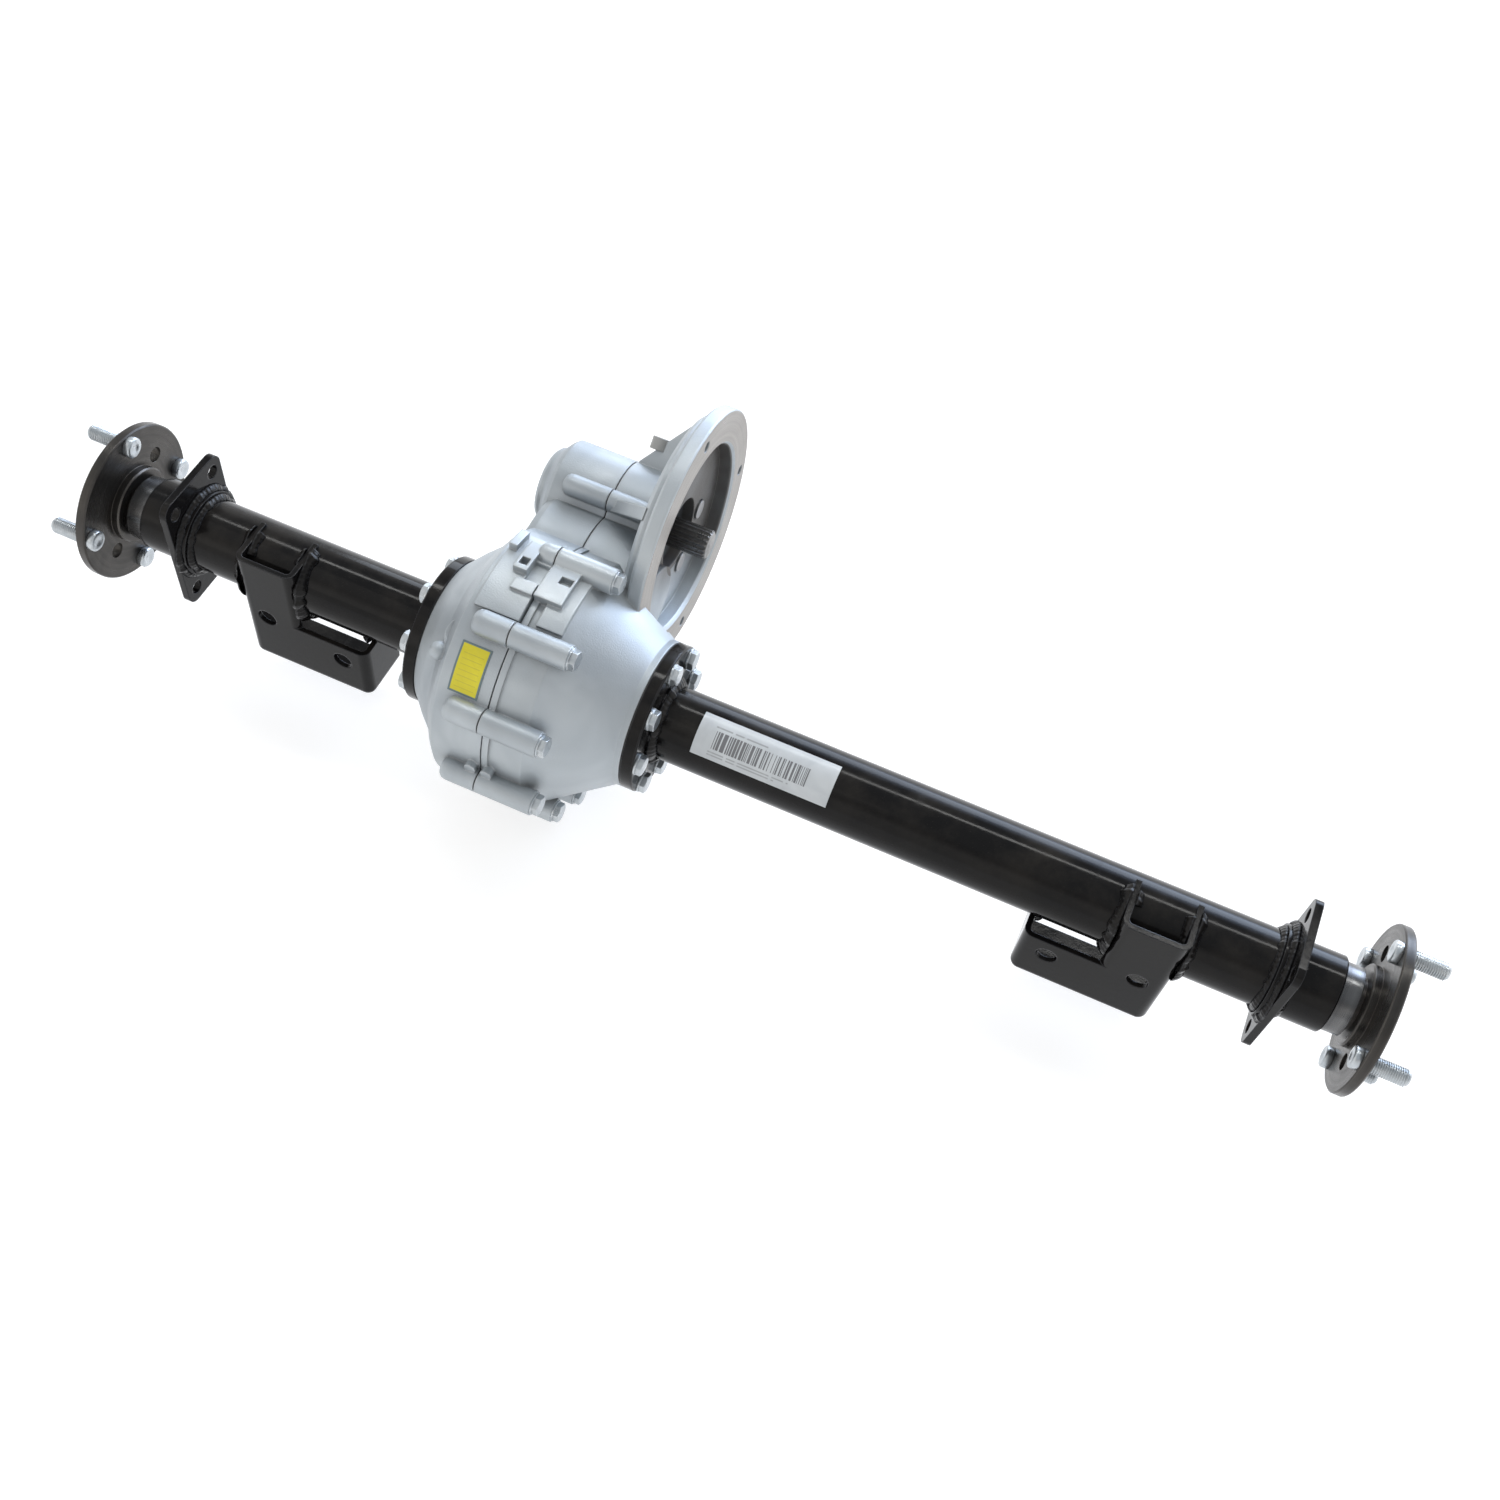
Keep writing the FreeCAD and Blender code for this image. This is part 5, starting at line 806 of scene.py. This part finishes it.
def threadedStuds(side, face, outwards):
    look = wheelStud
    rows = studProfile(look)
    columns = look["columns"]
    wide, steep = look["ridge"]
    points, faces = [], []
    for index in range(look["count"]):
        angle = math.radians(look["angles"][side] + 360 / look["count"] * index)
        centreY = look["circle"] * math.sin(angle)
        centreZ = look["circle"] * math.cos(angle)
        first = len(points)
        for reach, radius, depth in rows:
            for column in range(columns):
                turn = column / columns
                wave = (reach / look["pitch"] + outwards * turn) % 1.0
                ridge = max(0.0, min(1.0, wide - abs(wave - 0.5) * steep))
                size = radius + depth * ridge
                points.append((face + outwards * reach,
                               centreY + size * math.sin(2 * math.pi * turn),
                               centreZ + size * math.cos(2 * math.pi * turn)))
        for row in range(len(rows) - 1):
            start = first + row * columns
            for column in range(columns):
                after = (column + 1) % columns
                faces.append((start + column, start + after,
                              start + columns + after, start + columns + column))
    piece = newPiece(side + "_threaded_studs", points, faces, "zinc_steel", side + "_axle")
    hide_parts(side + "_wheel_studs")


threadedStuds("left", 0.0, -1)
threadedStuds("right", 0.9495, 1)
print("wheel studs threaded")

# Weld beads: a row of overlapping scales that fills the corner between two plates.
weldBead = {
    "scale": 0.0036,
    "samples": 6,
    "columns": 7,
    "ripple": 0.085,
    "rippleEdge": 0.35,
    "lean": 0.30,
    "wander": 0.13,
    "wanderPitch": (410, 173),
    "wanderMix": 1.7,
    "flat": 0.16,
    "under": 0.6,
    "endShare": 0.12,
    "endSlope": 4,
    "endStart": 0.35,
    "fewestRows": 8,
}


def beadPoints(path, size, closed, count, lengths):
    look = weldBead
    points = []
    here = 0
    for row in range(count if closed else count + 1):
        reach = lengths[-1] * row / count
        while here < len(path) - 2 and lengths[here + 1] < reach:
            here += 1
        part = (reach - lengths[here]) / max(1e-9, lengths[here + 1] - lengths[here])
        corner, first, second = (path[here][index].lerp(path[here + 1][index], part)
                                 for index in range(3))
        first.normalize()
        second.normalize()
        ends = 1.0
        if not closed:
            ends = min(1.0, look["endSlope"] * min(row, count - row)
                       / (count * look["endShare"] + 1) + look["endStart"])
        fast, slow = look["wanderPitch"]
        wander = math.sin(reach * fast + look["wanderMix"] * math.sin(reach * slow))
        for column in range(look["columns"]):
            across = column / (look["columns"] - 1)
            bow = 1 - (2 * across - 1) ** 2
            wave = (reach / look["scale"] + look["lean"] * bow) % 1.0
            swell = 1 + look["ripple"] * (0.5 - wave) * (look["rippleEdge"] + bow)
            swell += look["wander"] * wander
            turn = across * math.pi / 2
            away = first * math.cos(turn) + second * math.sin(turn)
            points.append(corner + away * (size * swell * ends * (1.0 - look["flat"] * bow)))
    return points


def weldSeam(name, path, size, closed=False):
    # path gives points with the two directions that leave the corner along the plates
    look = weldBead
    lengths = [0.0]
    for index in range(1, len(path)):
        lengths.append(lengths[-1] + (path[index][0] - path[index - 1][0]).length)
    count = max(look["fewestRows"], int(lengths[-1] / look["scale"] * look["samples"]))
    points = beadPoints(path, size, closed, count, lengths)
    columns = look["columns"]
    rows = len(points) // columns
    faces = []
    spans = [(row, (row + 1) % rows) for row in range(rows if closed else rows - 1)]
    for row, after in spans:
        for column in range(columns - 1):
            faces.append((row * columns + column, row * columns + column + 1,
                          after * columns + column + 1, after * columns + column))
    base = len(points)  # the underside, which closes the bead
    for row in range(rows):
        corner = (points[row * columns] + points[row * columns + columns - 1]) * 0.5
        middle = points[row * columns + columns // 2]
        points.append(corner - (middle - corner) * look["under"])
    for row, after in spans:
        faces.append((row * columns, after * columns, base + after, base + row))
        faces.append((row * columns + columns - 1, base + row, base + after,
                      after * columns + columns - 1))
    if not closed:
        last = (rows - 1) * columns
        faces.append(tuple(range(columns)) + (base,))
        faces.append(tuple(range(last + columns - 1, last - 1, -1)) + (base + rows - 1,))
    newPiece(name, points, faces, "black_paint", "housing")


def roundPath(along, radius, outwards, start=0.0, end=360.0):
    # a path round the axle where a plate meets the tube, a point about every 4 degrees
    path = []
    steps = max(12, int(abs(end - start) / 4))
    for index in range(steps + 1):
        angle = math.radians(start + (end - start) * index / steps)
        radial = Vector((0, math.sin(angle), math.cos(angle)))
        path.append((Vector((along, 0, 0)) + radial * radius, Vector((outwards, 0, 0)), radial))
    return path


# Each seam has its place along the axle and the side it looks to.
tubeRadius = 0.027
collarRadius = 0.0325
weldRuns = {
    "flangeSize": 0.0058,
    "flangeSink": 0.0004,
    "flange": {"left": (0.2615, -1), "right": (0.4388, 1)},
    "plateSize": 0.0042,
    "sink": 0.0003,
    "plate": {
        "left": ((0.0605, -1, tubeRadius), (0.0720, 1, tubeRadius),
                 (0.0660, 1, collarRadius)),
        "right": ((0.8890, 1, tubeRadius), (0.8775, -1, tubeRadius),
                  (0.8835, -1, collarRadius)),
    },
    # the saddle brackets' seams run round the tube beside the channel's two walls
    "saddleSizes": (0.0052, 0.0066),
    "saddleTurn": (-158.0, 4.0),
    "saddle": {"left": ((0.1150, -1), (0.1618, 1)), "right": ((0.8223, 1), (0.7755, -1))},
    # short beads inside the channel and the tray, where their walls meet the tube
    "innerSize": 0.0050,
    "inner": (("left", 0.1190, 1, -42.0, -4.0), ("left", 0.1578, -1, -30.0, -2.0),
              ("left", 0.2114, -1, -176.0, -138.0), ("right", 0.8183, -1, -58.0, -8.0),
              ("right", 0.7795, 1, -24.0, -2.0), ("right", 0.7259, 1, -176.0, -138.0)),
}
seamRadius = tubeRadius - weldRuns["sink"]
for side, (along, outwards) in weldRuns["flange"].items():
    weldSeam(side + "_flange_weld",
             roundPath(along, tubeRadius - weldRuns["flangeSink"], outwards),
             weldRuns["flangeSize"], closed=True)
for side, seams in weldRuns["plate"].items():
    for index, (along, outwards, radius) in enumerate(seams, start=1):
        weldSeam(side + "_plate_weld_" + str(index),
                 roundPath(along, radius - weldRuns["sink"], outwards),
                 weldRuns["plateSize"], closed=True)
for side, walls in weldRuns["saddle"].items():
    for index, (along, outwards) in enumerate(walls, start=1):
        weldSeam(side + "_saddle_weld_" + str(index),
                 roundPath(along, seamRadius, outwards, *weldRuns["saddleTurn"]),
                 weldRuns["saddleSizes"][index - 1])
for index, (side, along, outwards, start, end) in enumerate(weldRuns["inner"], start=1):
    weldSeam(side + "_inner_weld_" + str(index),
             roundPath(along, seamRadius, outwards, start, end), weldRuns["innerSize"])
print("weld beads laid")

# A plain pale floor, which shows white to the camera and keeps the shadow.
studioFloor = {
    "colour": (0.60, 0.59, 0.58, 1),
    "roughness": 0.9,
    "lift": 0.61,
    "size": 60.0,
}


def buildFloor():
    look = studioFloor
    half = look["size"] / 2
    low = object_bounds()[0][2]
    mesh = bpy.data.meshes.new("studioFloor")
    mesh.from_pydata([(-half, -half, low), (half, -half, low), (half, half, low),
                      (-half, half, low)], [], [(0, 1, 2, 3)])
    floor = bpy.data.objects.new("studioFloor", mesh)
    bpy.context.scene.collection.objects.link(floor)
    material, tree, shader = startFinish("studioFloor", 0.0, look["roughness"],
                                         {"Base Color": look["colour"]})
    seen = addNode(tree, "ShaderNodeLightPath").outputs
    shows = mathNode(tree, "MAXIMUM", seen["Is Camera Ray"],
                     mathNode(tree, "MAXIMUM", seen["Is Glossy Ray"],
                              seen["Is Transmission Ray"]))
    glow = addNode(tree, "ShaderNodeEmission",
                   {"Color": (1, 1, 1, 1), "Strength": multiply(tree, shows, look["lift"])})
    both = addNode(tree, "ShaderNodeAddShader", {0: shader.outputs[0], 1: glow.outputs[0]})
    tree.links.new(both.outputs[0], tree.nodes["Material Output"].inputs["Surface"])
    mesh.materials.append(material)


buildFloor()

studioLights = {
    "overhead": {"place": (0.30, 1.10, 2.20), "aim": (0.47, 0.03, 0.0), "size": (3.0, 0.22),
                 "power": 22.0, "colour": (1.0, 1.0, 0.98)},
    "window": {"place": (0.75, 2.30, 0.62), "aim": (0.47, 0.03, 0.0), "size": (3.4, 0.90),
               "power": 32.0, "colour": (0.78, 0.87, 1.0)},
    "front": {"place": (-1.60, -1.90, 2.40), "aim": (0.42, 0.03, 0.0), "size": (3.4, 3.4),
              "power": 15.0, "colour": (1.0, 0.93, 0.85)},
}
for name, look in studioLights.items():
    lightData = bpy.data.lights.new(name + "Light", "AREA")
    lightData.shape = "RECTANGLE"
    lightData.size, lightData.size_y = look["size"]
    lightData.energy = look["power"]
    lightData.color = look["colour"]
    light = bpy.data.objects.new(name + "Light", lightData)
    light.location = look["place"]
    towards = Vector(look["aim"]) - Vector(look["place"])
    light.rotation_euler = towards.to_track_quat("-Z", "Y").to_euler()
    bpy.context.scene.collection.objects.link(light)

# The room: a pale band low down all round, bluish behind the axle, and a dimmer ceiling.
studioAir = {
    "band": (1.0, 0.996, 0.99, 1),
    "window": (3.3, 4.0, 5.3, 1),
    "ceiling": (0.26, 0.25, 0.25, 1),
    "overhead": (0.52, 0.55, 0.58, 1),
    "bandTop": (0.44, 0.66),
    "overheadFrom": (0.45, 0.85),
    "windowAway": (0.55, 0.9),
    "windowAlong": (-0.35, 0.2),
}


def buildAir():
    look = studioAir
    world = bpy.data.worlds.new("studioAir")
    bpy.context.scene.world = world
    world.use_nodes = True
    tree = world.node_tree
    axes = splitVector(tree, addNode(tree, "ShaderNodeTexCoord").outputs["Generated"])
    room = mixColour(tree, rangeNode(tree, axes["Z"], *look["overheadFrom"]),
                     look["ceiling"], look["overhead"])
    window = multiply(tree, rangeNode(tree, axes["Y"], *look["windowAway"]),
                      rangeNode(tree, axes["X"], *look["windowAlong"]))
    band = mixColour(tree, window, look["band"], look["window"])
    seen = mixColour(tree, rangeNode(tree, axes["Z"], *look["bandTop"]), band, room)
    tree.links.new(seen, tree.nodes["Background"].inputs["Color"])


buildAir()
bpy.context.scene.view_settings.view_transform = "Standard"
print("floor and lights set")
